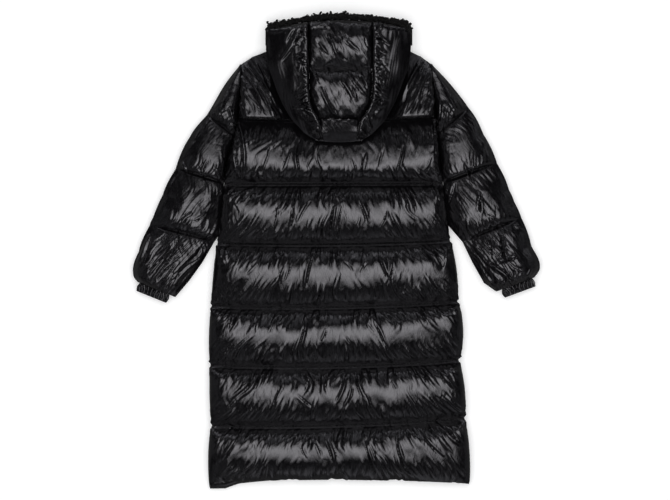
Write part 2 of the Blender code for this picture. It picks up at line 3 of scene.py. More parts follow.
import bpy
import numpy as np
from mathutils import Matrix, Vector


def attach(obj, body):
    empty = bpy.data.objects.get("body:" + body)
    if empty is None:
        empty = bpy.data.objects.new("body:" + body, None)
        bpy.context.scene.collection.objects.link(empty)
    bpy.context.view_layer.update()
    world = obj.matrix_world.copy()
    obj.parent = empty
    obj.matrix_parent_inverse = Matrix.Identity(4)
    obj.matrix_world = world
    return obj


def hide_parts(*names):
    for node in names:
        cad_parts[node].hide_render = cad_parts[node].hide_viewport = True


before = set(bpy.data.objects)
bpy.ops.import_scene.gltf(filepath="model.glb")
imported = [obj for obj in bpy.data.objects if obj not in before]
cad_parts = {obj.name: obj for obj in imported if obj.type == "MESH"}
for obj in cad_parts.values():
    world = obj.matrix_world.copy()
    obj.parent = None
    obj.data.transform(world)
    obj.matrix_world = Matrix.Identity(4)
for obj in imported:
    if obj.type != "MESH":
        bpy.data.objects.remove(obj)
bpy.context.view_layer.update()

# A long puffer coat, laid face down on a pale floor with its back up and its hood folded over the yoke.
# Tables and shapes are in millimetres, as a maker would measure them; finished pieces are in metres.
MM = 0.001

# --- Levels and padding -------------------------------------------------------------------------------------

FRONT_LEVEL = 30.0      # where the back lies on the fronts
LAYER_GAP = 0.3         # between two layers that lie on each other
SEAM_GAP = 0.35         # between two pieces that are sewn edge to edge
EDGE_WALL = 1.5         # height of the padding's thin edge
SEAM_LOFT = 6.0         # padding left under a stitch line
SEAM_GROOVE = 3.6       # how deep the thread itself bites
SEAM_LEDGE = 5.4        # and how far the shell lies flat just below it
BACK_LOFT = 42.0        # height of a filled channel
FULLNESS = 2.25         # how square a filled channel is
SLEEVE_SEAM_LOFT = 19.0
SLEEVE_FULL_LOFT = 43.0
SIDE_ROUND = {"left": 70.0, "right": 46.0}      # how far in from each edge the padding rounds down
SLEEVE_ROUND_INNER = 38.0
FRONT_ROUND = 30.0
ARMHOLE_ROUND = 30.0

HOOD_BASE = 54.3        # underside of the hood's rolled layers, where the back is pressed flat
HOOD_LEVEL = 74.0       # underside of the hood's visible shell
HOOD_LOFT = 34.0
HOOD_SEAM_LOFT = 17.0
HOOD_SEAM_ROUND = 26.0
HOOD_RUCHED = 15.0      # width of the ruched shell beside the hood's long seams
HOOD_OPENING_ROUND = 20.0
HOOD_HIGHEST = 44.5     # nothing on the hood's shell stands more than this above its level
HOOD_ROLL_ROUND = 22.0
PRESS_SLOPE = 0.9       # around the hood, which presses the back flat, the padding rises again this steeply

CHIN_LEVEL = 22.0       # top of the chin part, which the lining lies on
LINING_SPLIT = 44.0     # where the lining's two layers meet
LINING_ROUND = 13.0
LINING_STEP = 4.0       # how far the upper layer's edge lies inside the lower one's
CHIN_TOP_Y = 615.0
CHIN_TOP_FALL = 14.0
NECK_SEAM_Y = 554.0

CENTRE_X = 5.0
PLACKET_WIDTH = 60.0
PLACKET_THICKNESS = 5.7
PLACKET_FOOT_Y = -610.0
PLACKET_HEAD_Y = 452.0

CUFF_WIDTH = 97.0
CUFF_DEPTH = 24.0
CUFF_END_ROUND = 9.5
CUFF_SLIT_ROUND = 1.5
CUFF_LEVEL = 27.0
CUFF_GATHERS = 19
CUFF_POINTS = 14        # round the cuff, to each gather
CUFF_RINGS = 19         # down its depth
CUFF_SUNK = 7.2         # how far the valleys between the gathers lie inside the cuff's rounding
CUFF_GATHER_TALL = 6.6

FINE_CELL = 2.7         # spacing of the points on the shell that shows, hem to neck
CROSS_CELL = 2.05       # and from side to side
SLEEVE_CELL = 2.1       # the sleeves' creases are finer
SLEEVE_CROSS_CELL = 1.7
HIDDEN_CELL = 6.0       # and on the layers that lie underneath

SIDES = ("left", "right")
OUTWARD = {"left": -1.0, "right": 1.0}

# --- Outlines -----------------------------------------------------------------------------------------------

# Rows across the body, hem to neck: left_x left_y mid_y right_x right_y bulge_left bulge_right
BODY_ROWS = {
    "hem": (-341, -628, -620, 358, -630, 8, 8),
    "seam_6": (-338, -475, -473, 347, -454, 4, 9),
    "seam_5": (-342, -310, -314, 331, -297, 5, 14),
    "seam_4": (-339, -150, -153, 328, -138, 3, 8),
    "seam_3": (-323, 20, 17, 308, 27, 0, 0),
    "underarm": (-305, 180, 181, 289, 182, 0, 0),
    "armhole_low": (-297, 244, 244, 282, 244, 0, 0),
    "armhole_notch": (-278, 309, 309, 275, 315, 0, 0),
    "yoke": (-266, 357, 352, 269, 361, 0, 0),
    "armhole_high": (-261, 433, 433, 263, 433, 0, 0),
    "shoulder_tip": (-258, 504, 504, 256, 505, 0, 0),
    "shoulder_mid": (-228, 524, 524, 228, 525, 0, 0),
    "shoulder_neck": (-185, 541, 541, 196, 541, 0, 0),
    "neck": (-126, 554, 554, 139, 554, 0, 0),
}
FRONT_HEM = (-343, -642.6, -616, 360, -634, 8, 8)
FRONT_HEM_CORNER = -302.0   # the left front hangs lowest here
STITCHED = ["hem", "seam_6", "seam_5", "seam_4", "seam_3", "underarm", "yoke"]
NECKLINE = [(480, 0.15), (481, 50), (494, 76), (504, 88), (524, 104), (541, 112), (554, 118)]

# Rows across a sleeve: place along it, outer_x outer_y inner_x inner_y bulge. Down to the underarm the
# inner end lies on the armhole, at the same place along it.
SLEEVE_ROWS = {
    "left": [(0, -265, 498, None, None, 0), (4, -304, 447, None, None, 0), (8, -351, 367, None, None, 3),
             (10, -398, 306, None, None, 3), (12, -436, 221, None, None, 3),
             (15, -471, 150, -311, 99, 1), (17.3, -498, 87, -318, 42, 1), (18, -506, 68, -331, 24, 3),
             (21, -536, -4, -363, -31, 3),
             (24, -551, -61, -398, -80, 0), (26, -539, -85, -437, -126, 0)],
    "right": [(0, 263, 499, None, None, 0), (4, 309, 450, None, None, 0), (8, 358, 386, None, None, 3),
              (10, 398, 315, None, None, 3), (12, 435, 236, None, None, 3),
              (15, 468, 163, 296, 104, 1), (16.3, 482, 131, 303, 68, 1), (18, 501, 88, 342, 23, 3),
              (21, 528, 12, 368, -31, 3),
              (24, 551, -43, 400, -88, 0), (26, 536, -73, 433, -111, 0)],
}
ARMHOLE_PLACES = {"shoulder_tip": 0, "armhole_high": 3, "yoke": 6, "armhole_notch": 8, "armhole_low": 10,
                  "underarm": 12}
SLEEVE_SEAMS = (8, 12, 18, 26)
SLEEVE_END = 26

# Rows of the folded hood, crown roll to face opening: y outer_left seam_left seam_right outer_right
HOOD_ROWS = [
    (296, -50, -35, 54, 66), (312, -81, -38, 57, 93), (331, -101, -42, 59, 113),
    (352, -120, -47, 65, 131), (374, -134, -59, 80, 144), (398, -147, -67, 90, 157),
    (426, -159, -71, 95, 169), (456, -170, -72, 96, 180), (487, -181, -73, 96, 192),
    (507, -186, -73, 96, 196), (530, -189, -73, 96, 199), (553, -190, -73, 96, 200),
    (575, -189, -74, 96, 199),
]
HOOD_EDGE = [(-188, 593), (-130, 606), (-74, 616), (10, 622), (96, 616), (150, 608), (197, 598)]
HOOD_QUILT_LINES = (296, 352, 487, 622)
SHEARLING_EDGE = [(-192, 601), (-183, 616), (-113, 628), (-43, 641), (20, 643),
                  (66, 639), (116, 633), (188, 624), (200, 613), (205, 600)]
CHIN_SIDES = [(563, 140), (575, 160), (588, 170)]

# --- Creases ------------------------------------------------------------------------------------------------

# The creases that stand out: where one starts and ends, its half width and its depth
BACK_CREASES = [
    (-101, 298, -100, 215, 5, 6), (-55, 258, -39, 212, 5, 4), (-82, 212, -66, 250, 4, 3),
    (180, 282, 163, 212, 5, 5), (-252, 255, -255, 188, 5, 5), (-201, 212, -180, 271, 6, 3),
    (-147, 217, -126, 277, 6, 4), (77, 263, 69, 201, 5, 5), (42, 250, 53, 207, 5, 3),
    (239, 209, 258, 252, 5, 4), (128, 277, 112, 217, 6, 3), (-7, 126, -18, 47, 5, 7),
    (15, 120, 1, 58, 4, 4), (61, 136, 85, 72, 6, 7), (-115, 126, -126, 53, 4, 5),
    (-163, 126, -174, 61, 4, 3), (-69, 136, -104, 74, 6, 4), (-285, 140, -262, 100, 5, 3),
    (261, 180, 277, 123, 5, 6), (293, 174, 282, 120, 5, 5), (185, 123, 220, 85, 5, 4),
    (134, 109, 117, 63, 4, 4), (-61, -4, -82, -99, 6, 8), (117, -15, 142, -80, 6, 7),
    (153, -31, 131, -96, 5, 5), (225, 4, 258, -31, 6, 5), (250, 15, 288, -47, 6, 7),
    (293, 12, 285, -50, 4, 4), (-282, -45, -263, 4, 6, 5), (-298, -34, -309, 1, 5, 4),
    (-244, -61, -215, -28, 5, 4), (-144, -42, -153, -88, 4, 4), (-123, -36, -136, -82, 4, 3),
    (20, -28, 45, -58, 5, 4), (88, -28, 63, -61, 5, 3), (-258, -161, -290, -217, 6, 7),
    (-279, -174, -288, -212, 4, 4), (-85, -188, -107, -271, 5, 7), (-163, -174, -180, -223, 5, 4),
    (-207, -182, -217, -217, 5, 4), (23, -231, 45, -266, 5, 4), (99, -188, 131, -258, 5, 6),
    (-26, -212, -39, -244, 4, 4), (225, -158, 239, -201, 5, 4), (80, -190, 107, -223, 5, 3),
    (23, -336, -4, -409, 5, 7), (45, -366, 15, -433, 5, 6), (53, -331, 72, -396, 6, 6),
    (80, -385, 93, -428, 5, 4), (-150, -366, -171, -417, 5, 6), (-107, -387, -63, -425, 5, 5),
    (144, -342, 161, -374, 5, 4), (-306, -347, -269, -320, 5, 5), (279, -331, 298, -360, 5, 4),
    (298, -325, 315, -352, 5, 4), (220, -479, 288, -558, 6, 7), (269, -460, 336, -520, 7, 8),
    (244, -466, 271, -514, 5, 5), (-250, -477, -312, -574, 6, 7), (-277, -471, -333, -547, 6, 6),
    (-309, -460, -342, -504, 5, 5), (-31, -509, -9, -576, 6, 6), (-18, -512, 1, -563, 4, 4),
    (74, -514, 99, -593, 5, 6), (90, -517, 109, -568, 4, 4), (161, -495, 185, -587, 6, 6),
    (-63, -506, -39, -558, 5, 4), (-96, -525, -80, -560, 4, 4), (9, -590, 34, -625, 5, 4),
    (-247, 514, -144, 358, 6, 7), (-220, 522, -171, 412, 6, 5), (-242, 460, -201, 371, 5, 5),
    (-185, 431, -147, 360, 4, 4), (-201, 512, -163, 441, 6, 4), (244, 514, 174, 379, 6, 6),
    (223, 512, 171, 409, 6, 5), (255, 485, 223, 371, 6, 4), (204, 514, 166, 441, 5, 4),
    (236, 412, 217, 363, 4, 4), (-277, 366, -255, 196, 6, 8), (-268, 300, -262, 205, 5, 5),
    (-246, 330, -240, 262, 5, 3), (262, 350, 268, 240, 6, 6),
]
SLEEVE_CREASES = {
    "left": [
        (-306, 271, -304, 198, 5, 6), (-293, 387, -282, 336, 5, 6), (-333, 390, -325, 355, 5, 5),
        (-315, 385, -304, 347, 5, 5), (-428, 77, -393, 107, 5, 4), (-498, -88, -425, 4, 5, 5),
        (-485, -109, -431, -34, 5, 4), (-458, -115, -420, -55, 5, 4), (-466, -34, -431, 15, 4, 4),
        (-533, -34, -501, 42, 6, 5), (-498, 20, -460, 45, 5, 4), (-371, 228, -352, 190, 5, 5),
        (-344, 244, -358, 201, 4, 4), (-331, 223, -317, 190, 4, 4), (-414, 244, -401, 212, 5, 5),
        (-387, 77, -350, 101, 4, 4), (-279, 379, -269, 317, 5, 7), (-491, -44, -444, 9, 5, 6),
        (-508, -62, -470, -16, 5, 6), (-484, -84, -446, -38, 5, 5), (-519, -44, -487, -5, 4, 5),
        (-468, -99, -436, -61, 4, 5), (-505, -17, -473, 22, 4, 5), (-460, -60, -420, -20, 4, 4),
    ],
    "right": [
        (298, 387, 285, 315, 5, 6), (317, 385, 304, 342, 5, 5), (412, 315, 401, 274, 5, 5),
        (433, 301, 420, 266, 5, 4), (342, 244, 363, 196, 5, 5), (371, 234, 358, 190, 4, 4),
        (393, 158, 385, 104, 6, 7), (374, 161, 390, 101, 5, 5), (409, 99, 431, 80, 4, 4),
        (439, 34, 458, -36, 6, 7), (401, -28, 482, -90, 5, 6), (433, -34, 485, -18, 6, 6),
        (452, 42, 444, -20, 5, 5), (412, 34, 417, -23, 5, 5), (482, 74, 512, 55, 5, 4),
        (477, -47, 506, -63, 5, 4), (320, 182, 304, 128, 6, 5), (282, 396, 266, 309, 5, 7),
    ],
}
HOOD_CREASES = [
    (-77, 612, 4, 609, 4, 5), (-72, 593, -15, 593, 4, 4), (-96, 603, -147, 506, 6, 5),
    (-80, 587, -123, 544, 5, 4), (-107, 598, -134, 555, 5, 4), (-28, 576, -4, 517, 5, 5),
    (-12, 566, 28, 506, 5, 5), (23, 558, 61, 528, 5, 4), (9, 582, 45, 555, 5, 4),
    (-50, 555, -23, 522, 5, 4), (28, 485, 88, 409, 5, 6), (50, 479, 82, 431, 4, 4),
    (-39, 441, 1, 366, 6, 7), (9, 452, 39, 404, 5, 4), (-58, 479, -42, 444, 5, 4),
    (104, 582, 142, 549, 5, 5), (107, 528, 142, 479, 5, 4), (101, 474, 128, 452, 4, 4),
    (74, 568, 90, 536, 5, 4), (36, 439, 50, 396, 4, 4),
]


# --- Measuring ----------------------------------------------------------------------------------------------

KNOTS = 64              # random heights to a side, before the bumps repeat


def blend_between(a, b, t):
    """The value that lies the share t of the way from a to b."""
    return a + (b - a) * t


def quarter_round(distance, reach):
    """0 at an edge, rising as a quarter circle to 1 at the reach."""
    t = np.clip(distance / reach, 0.0, 1.0)
    return np.sqrt(np.clip(1.0 - (1.0 - t) ** 2, 0.0, 1.0))


def ease(t):
    """A share that runs from 0 to 1 and starts and ends gently."""
    t = np.clip(t, 0.0, 1.0)
    return t * t * (3.0 - 2.0 * t)


def filled(v, crest=0.5, low_side=FULLNESS, high_side=FULLNESS):
    """Height of a filled channel across its width: 0 at both stitch lines and 1 at its crest."""
    v = np.clip(v, 0.0, 1.0)
    centred = np.where(v < crest, 0.5 * v / crest, 0.5 + 0.5 * (v - crest) / (1.0 - crest))
    return 1.0 - np.abs(2.0 * centred - 1.0) ** np.where(centred < 0.5, low_side, high_side)


def bumps(x, y, seed):
    """Smooth random heights from -1 to 1, one bump to a unit."""
    knots = np.random.default_rng(seed).uniform(-1.0, 1.0, (KNOTS, KNOTS))
    column, row = np.floor(x).astype(int), np.floor(y).astype(int)
    s, t = ease(x - column), ease(y - row)
    c0, c1, r0, r1 = column % KNOTS, (column + 1) % KNOTS, row % KNOTS, (row + 1) % KNOTS
    low = knots[r0, c0] * (1 - s) + knots[r0, c1] * s
    high = knots[r1, c0] * (1 - s) + knots[r1, c1] * s
    return low * (1 - t) + high * t


def to_path(x, y, path):
    """Distance from each point to a path, and how far along the path the nearest place is."""
    nearest, run, walked = np.full(x.shape, 1e9), np.zeros(x.shape), 0.0
    for (ax, ay), (bx, by) in zip(path, path[1:]):
        length = math.hypot(bx - ax, by - ay)
        if length < 1e-9:
            continue
        t = np.clip(((x - ax) * (bx - ax) + (y - ay) * (by - ay)) / length ** 2, 0.0, 1.0)
        away = np.hypot(x - (ax + t * (bx - ax)), y - (ay + t * (by - ay)))
        run = np.where(away < nearest, walked + t * length, run)
        nearest = np.minimum(nearest, away)
        walked += length
    return nearest, run


def nearest_of(x, y, paths):
    """Distance from each point to the nearest of several paths."""
    return np.minimum.reduce([to_path(x, y, path)[0] for path in paths])


def inside(x, y, outline):
    """Which of the points lie inside an outline."""
    found = np.zeros(x.shape, bool)
    for (ax, ay), (bx, by) in zip(outline, outline[1:] + outline[:1]):
        if ay == by:
            continue
        crosses = (ay > y) != (by > y)
        found ^= crosses & (x < ax + (y - ay) / (by - ay) * (bx - ax))
    return found


def smooth_path(points, count=8):
    """A smooth curve through the points."""
    knots = np.array([points[0]] + list(points) + [points[-1]], float)
    t = (np.arange(count) / count)[:, None]
    curve = []
    for a, b, c, d in zip(knots, knots[1:], knots[2:], knots[3:]):
        curve.append(b + 0.5 * t * (c - a + t * (2 * a - 5 * b + 4 * c - d + t * (3 * (b - c) + d - a))))
    return [tuple(point) for point in np.concatenate(curve)] + [tuple(knots[-1])]


def along(path, x):
    """The second coordinate of a path, where its first one is x."""
    xs, ys = zip(*path)
    return np.interp(x, xs, ys)


# --- Creases and gathers ------------------------------------------------------------------------------------


def creases(x, y, table, seed):
    """Relief of the listed creases: a raised fold that lies over a narrow trough beside it."""
    relief = np.zeros(x.shape)
    bows = np.random.default_rng(seed).uniform(-0.09, 0.09, len(table))
    for number, ((ax, ay, bx, by, width, depth), bow) in enumerate(zip(table, bows)):
        length = math.hypot(bx - ax, by - ay)
        ux, uy = (bx - ax) / length, (by - ay) / length
        t = ((x - ax) * ux + (y - ay) * uy) / length
        across = (y - ay) * ux - (x - ax) * uy - bow * length * np.sin(np.pi * np.clip(t, 0, 1))
        taper = np.clip(1.0 - (2.0 * t - 1.0) ** 2, 0.0, 1.0) ** 0.7
        over = across if number % 2 else -across
        trough = np.exp(-((over + 0.1 * width) / (0.38 * width)) ** 2)
        fold = np.exp(-((over - 0.9 * width) / (0.75 * width)) ** 2)
        relief += depth * taper * (0.48 * fold - 0.55 * trough)
    return relief


# Gathers come in sizes: spacing along the stitching, height, and how far they reach from it
GATHER_SIZES = [(7.5, 0.8, 45.0), (13.0, 1.2, 70.0), (23.0, 2.2, 92.0), (44.0, 2.2, 150.0)]


def gathers(run, away, seed, strength=1.0, reach=1.0):
    """Relief of the gathers that a stitch line pulls into the shell: fine beside it, broad further out."""
    relief = np.zeros(run.shape)
    for number, (spacing, tall, long) in enumerate(GATHER_SIZES):
        key = seed * 31 + number * 7
        wander = 0.5 * bumps(run / (3.2 * spacing), away / (2.2 * spacing), key + 1)
        ridge = np.abs(bumps(run / spacing + wander, away / (4.5 * spacing), key)) * 2.3 - 0.7
        own_reach = reach * long * (1.0 + 0.45 * bumps(run / (1.4 * spacing), 0.0 * run, key + 2))
        fade = np.clip(1.0 - away / own_reach, 0.0, 1.0)
        rise = 1.0 - np.exp(-away / (1.5 + 0.06 * long))
        relief += strength * tall * ridge * fade * rise
    return relief


def swell(on):
    """Height along a pleat: 0 at its stitches, 1 at two fifths of its length, then thinning out."""
    on = np.clip(on, 0.0, 1.0)
    return 28.9 * on ** 2 * (1.0 - on) ** 3


PLEAT_KINDS = 257       # lengths and heights of pleats, before they repeat


def pleats(run, away, seed, pitch, tall, long):
    """Relief of the folds between neighbouring stitches: each one a tapering ridge of its own length."""
    draw = np.random.default_rng(seed)
    lengths = draw.uniform(0.65, 1.25, PLEAT_KINDS)
    heights = 0.15 + 1.15 * draw.uniform(0.0, 1.0, PLEAT_KINDS) ** 1.6
    phase = run / pitch + 0.9 * bumps(run / (3.5 * pitch), away / (2.5 * pitch), seed + 1)
    number = np.floor(phase).astype(int) % PLEAT_KINDS
    ridge = 1.0 - np.abs(2.0 * (phase % 1.0) - 1.0) ** 2.2
    away = np.maximum(away - 3.0, 0.0)
    own_length = long * lengths[number]
    return tall * (heights[number] * ridge * swell(away / own_length) - 0.3 * swell(away / long))


def across_and_on(x, y, start, end):
    """Distances across and on the way from one point to another."""
    length = math.hypot(end[0] - start[0], end[1] - start[1])
    ux, uy = (end[0] - start[0]) / length, (end[1] - start[1]) / length
    return (y - start[1]) * ux - (x - start[0]) * uy, (x - start[0]) * ux + (y - start[1]) * uy


# Drag folds come in sizes: spacing and height
DRAG_SIZES = [(8.5, 1.0), (19.0, 1.7), (34.0, 1.8)]


def drag_folds(x, y, start, end, seed):
    """Relief of long thin folds that run side by side the way from one point to another."""
    off, on = across_and_on(x, y, start, end)
    relief = np.zeros(x.shape)
    for number, (spacing, tall) in enumerate(DRAG_SIZES):
        wander = 0.9 * bumps(off / (2.5 * spacing), on / (6.0 * spacing), seed + 3 * number)
        strength = 0.6 + 0.5 * bumps(off / (1.5 * spacing), on / (5.0 * spacing), seed + 3 * number + 1)
        relief += tall * strength * np.cos(2.0 * np.pi * (off / spacing + wander))
    return relief


def pinched(loft, pinch, edge):
    """A hidden layer's padding, a third thinner where a seam ends at its edge."""
    return loft * (1.0 - 0.35 * pinch ** 2 * np.exp(-edge / 26.0))


def hollows(x, y, deep, across, on, seed, edge, fade):
    """Relief of the shallow hollows in a hidden layer, fading out towards its edges."""
    return -deep * np.abs(bumps(x / across, y / on, seed)) * ease(edge / fade)


def crumple(x, y, seed):
    """Small crumples of thin nylon over the filling, everywhere on the shell."""
    broad = np.abs(bumps(x / 15.0, y / 34.0, seed)) * 0.9
    small = np.abs(bumps(x / 7.0, y / 20.0, seed + 1)) * 0.45
    return 0.5 - broad - small


# --- Building pieces ----------------------------------------------------------------------------------------


def smooth_grid_normals(x, y, z):
    """Unit normals of a grid of points, all turned to the side where z is higher."""
    along_row = np.stack([np.gradient(c, axis=1) for c in (x, y, z)], -1)
    up_rows = np.stack([np.gradient(c, axis=0) for c in (x, y, z)], -1)
    normal = np.cross(along_row, up_rows)
    normal /= np.maximum(np.linalg.norm(normal, axis=-1, keepdims=True), 1e-9)
    return np.where(normal[..., 2:3] < 0, -normal, normal)


def mesh_piece(name, points, faces, material, smooth_below=50.0, grain=None):
    """A finished piece from points in millimetres and its faces.

    The grain gives each point its place across and along the pull of the stitching, for the fine streaks.
    """
    data = bpy.data.meshes.new(name)
    data.from_pydata((np.asarray(points) * MM).tolist(), [], faces)
    data.update()
    if grain is not None:
        corners = np.empty(len(data.loops), np.int32)
        data.loops.foreach_get("vertex_index", corners)
        layer = data.uv_layers.new(name="grain")
        layer.data.foreach_set("uv", (grain[corners] * MM).astype(np.float32).ravel())
    data.materials.append(material)
    data.shade_smooth()
    data.set_sharp_from_angle(angle=math.radians(smooth_below))
    piece = bpy.data.objects.new(name, data)
    bpy.context.scene.collection.objects.link(piece)
    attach(piece, "root")
    return piece


THINNEST = 0.4          # no padded form is thinner than this anywhere


def grid_quads(number):
    """The faces of a grid whose points have those numbers."""
    corners = [number[:-1, :-1], number[:-1, 1:], number[1:, 1:], number[1:, :-1]]
    return np.stack(corners, -1).reshape(-1, 4)


def padded_form(name, x, y, loft, relief, level, material, up=True, fall=None, grain=None):
    """A filled layer: a shaped outer side over a grid of plan points, and a plain side at its level.

    The plain side is flat, or falls away from its level by the distances given.
    """
    way = 1.0 if up else -1.0
    if fall is not None:
        loft = np.maximum(loft, fall + 1.0)
    z = level + way * loft
    normal = smooth_grid_normals(x, y, way * z)
    px = x + relief * normal[..., 0]
    py = y + relief * normal[..., 1]
    pz = z + way * relief * normal[..., 2]
    lowest = THINNEST if fall is None else fall + THINNEST
    pz = np.maximum(pz, level + lowest) if up else np.minimum(pz, level - lowest)
    rows, columns = x.shape
    if grain is None:
        grain = (x, y)
    grain = np.stack(grain, -1).reshape(-1, 2)
    outer = np.stack([px, py, pz], -1).reshape(-1, 3)
    number = np.arange(rows * columns).reshape(rows, columns)
    quads = grid_quads(number)
    rim = np.concatenate([number[0, :-1], number[:-1, -1], number[-1, :0:-1], number[:0:-1, 0]])
    if fall is None:
        foot = rows * columns + np.arange(len(rim))
        rim_points = np.stack([x.ravel()[rim], y.ravel()[rim], np.full(len(rim), level)], -1)
        grain = np.concatenate([grain, grain[rim]])
        plain_side = [foot[::-1].tolist()]
    else:
        foot = rows * columns + rim
        rim_points = np.stack([x, y, level + way * fall], -1).reshape(-1, 3)
        grain = np.concatenate([grain, grain])
        plain_side = (rows * columns + quads[:, ::-1]).tolist()
    following, foot_following = np.roll(rim, -1), np.roll(foot, -1)
    walls = np.stack([rim, foot, foot_following, following], -1)
    faces = quads.tolist() + walls.tolist() + plain_side
    if not up:
        faces = [face[::-1] for face in faces]
    return mesh_piece(name, np.concatenate([outer, rim_points]), faces, material, grain=grain)


# Distances from a free edge of the first points of a row, before the even spacing starts
EDGE_POINTS = np.array([0.0, 0.5, 1.5, 3.0, 5.0, 7.4])


def mirrored(*grids):
    """The same grids with their rows read from the other end."""
    return [grid[:, ::-1] for grid in grids]


def row_spread(width, count):
    """Distances across rows of those widths: close together at both ends and even between them."""
    width = np.asarray(width, float)[:, None]
    shrink = np.minimum(1.0, width / 40.0)
    start = EDGE_POINTS[None, :] * shrink
    first, last = start[:, -1:], width - start[:, -1:]
    even = first + (last - first) * np.linspace(0, 1, count + 1)[None, 1:-1]
    return np.concatenate([start, even, width - start[:, ::-1]], axis=1)


# --- Body outline -------------------------------------------------------------------------------------------


def body_stations(first, last, cell, hem=None):
    """Rows of the body between two named rows: arrays of left x, left y, middle y, right x, right y."""
    table = dict(BODY_ROWS)
    if hem:
        table["hem"] = hem
    names = list(table)
    names = names[names.index(first):names.index(last) + 1]
    rows = []
    for low, high in zip(names, names[1:]):
        a, b = table[low], table[high]
        count = max(1, round(abs(b[2] - a[2]) / cell))
        for t in np.arange(count) / count:
            puff = math.sin(math.pi * t) ** 0.6
            rows.append([blend_between(a[i], b[i], t) for i in range(5)])
            rows[-1][0] -= a[5] * puff
            rows[-1][3] += a[6] * puff
    rows.append(list(table[last][:5]))
    return np.array(rows, float)


def row_height(row, x):
    """A row's y at x, on the parabola through its left end, middle and right end."""
    left_x, left_y, mid_y, right_x, right_y = row
    t = (x - left_x) / (right_x - left_x)
    return blend_between(left_y, right_y, t) + (mid_y - (left_y + right_y) / 2) * 4 * t * (1 - t)


def side_end(row, side):
    """The point where a row of the body ends, at one side."""
    return (row[0], row[1]) if side == "left" else (row[3], row[4])


BODY = body_stations("hem", "neck", HIDDEN_CELL)
BODY_SIDES = {side: [side_end(row, side) for row in BODY] for side in SIDES}


def side_part(side, low_y, high_y):
    """The body's side between two heights."""
    return [point for point in BODY_SIDES[side] if low_y - 0.1 <= point[1] <= high_y + 0.1]


ARMHOLES = {side: [side_end(BODY_ROWS[name], side) for name in ARMHOLE_PLACES] for side in SIDES}
FREE_SIDES = {side: [side_part(side, -1000, armhole[-1][1]), side_part(side, armhole[0][1], 1000)]
              for side, armhole in ARMHOLES.items()}
HOOD_LEFT = smooth_path([(row[1], row[0]) for row in HOOD_ROWS] + HOOD_EDGE[:1])
HOOD_RIGHT = smooth_path([(row[4], row[0]) for row in HOOD_ROWS] + HOOD_EDGE[-1:])
HOOD_EDGE_CURVE = smooth_path(HOOD_EDGE)
HOOD_OUTLINE = HOOD_LEFT + HOOD_EDGE_CURVE[1:-1] + HOOD_RIGHT[::-1]


SHALLOW_RUN = 60.0      # an armhole's valley stays shallow this far from the shoulder's tip
DEEPENING_RUN = 110.0   # and deepens over this length
SHALLOW_LIFT = 15.0     # where it is shallow, this much more padding is left in it
SHALLOW_NARROWER = 14.0     # and it is this much narrower


def thinned(loft, share):
    """The padding with that share of its thickness kept, down to a thin wall."""
    return EDGE_WALL + np.maximum(0.0, loft - EDGE_WALL) * share


def armhole_dip(loft, away, run):
    """The valley along an armhole: shallow over the shoulder and deep towards the underarm."""
    shallow = 1.0 - ease((run - SHALLOW_RUN) / DEEPENING_RUN)
    seam_loft = SEAM_LOFT + SHALLOW_LIFT * shallow
    reach = ARMHOLE_ROUND - SHALLOW_NARROWER * shallow
    dipped = seam_loft + (loft - seam_loft) * quarter_round(away, reach)
    return np.where(loft > seam_loft, dipped, loft)


# --- Back ---------------------------------------------------------------------------------------------------

FAN = 0.8               # how far the gathers lean outwards as they come down from a seam
HALF_BODY = 330.0       # from the back's middle to its side
HEM_TURN = 30.0         # the hem's scallops fade out over this height
# Where each channel is fullest, as a share of its width from its lower stitch line
CHANNEL_CRESTS = {"hem": 0.52, "seam_6": 0.55, "seam_5": 0.57, "seam_4": 0.55, "seam_3": 0.53,
                  "underarm": 0.31}
ZIGZAG = 0.065          # how far the folds push it up and down
CREST_END_LIFT = 0.24   # and how much higher it is at both ends
UPPER_FULLNESS = 1.5    # the widest channel, under the yoke, hangs in a nearly straight slope
YOKE_CREST = 4.0        # the yoke's padding is fullest this far above its seam
YOKE_LOFT = 54.0        # and this thick there
YOKE_SLOPE = 0.34       # it thins out towards the shoulders in this slope
YOKE_TURN = 36.0        # and turns into that slope over this length
YOKE_LEAN = 0.5         # how far the yoke's folds lean in as they rise
# The way the long folds run from each shoulder to the hood
YOKE_DRAG = {"left": ((-247, 514), (-152, 370)), "right": ((244, 514), (172, 372))}
SEAM_SEEDS = {name: 11 + 8 * number for number, name in enumerate(STITCHED)}


def fan_root(x, away, lean):
    """Where a gather that passes x began on its stitch line, when gathers fan out from the middle."""
    return x / (1.0 + lean * away / HALF_BODY)


def hem_scallops(x):
    """How far each place of the hem is drawn up by the gathers above it."""
    wave = np.abs(bumps(x / 42.0, 0.0 * x, 61)) + 0.35 * np.abs(bumps(x / 17.0, 0.0 * x, 62))
    return 9.0 * (0.5 - wave).clip(0.0) - 1.0


def pinched_sides(x, y, seams):
    """The plan points, with the side edges drawn in where each stitch line ends and frilled beside it."""
    moved = x.copy()
    for side in SIDES:
        near_edge = np.exp(-nearest_of(x, y, FREE_SIDES[side]) / 9.0)
        for number, seam in enumerate(seams):
            off = y - seam
            pinch = 4.0 * np.exp(-(off / 4.0) ** 2) - 2.2 * np.exp(-((np.abs(off) - 9.0) / 4.0) ** 2)
            frill = 1.6 * bumps(off / 5.0, 0.0 * off, 65 + number) * np.exp(-(off / 22.0) ** 2)
            moved -= OUTWARD[side] * (pinch + frill) * near_edge
    return moved, y


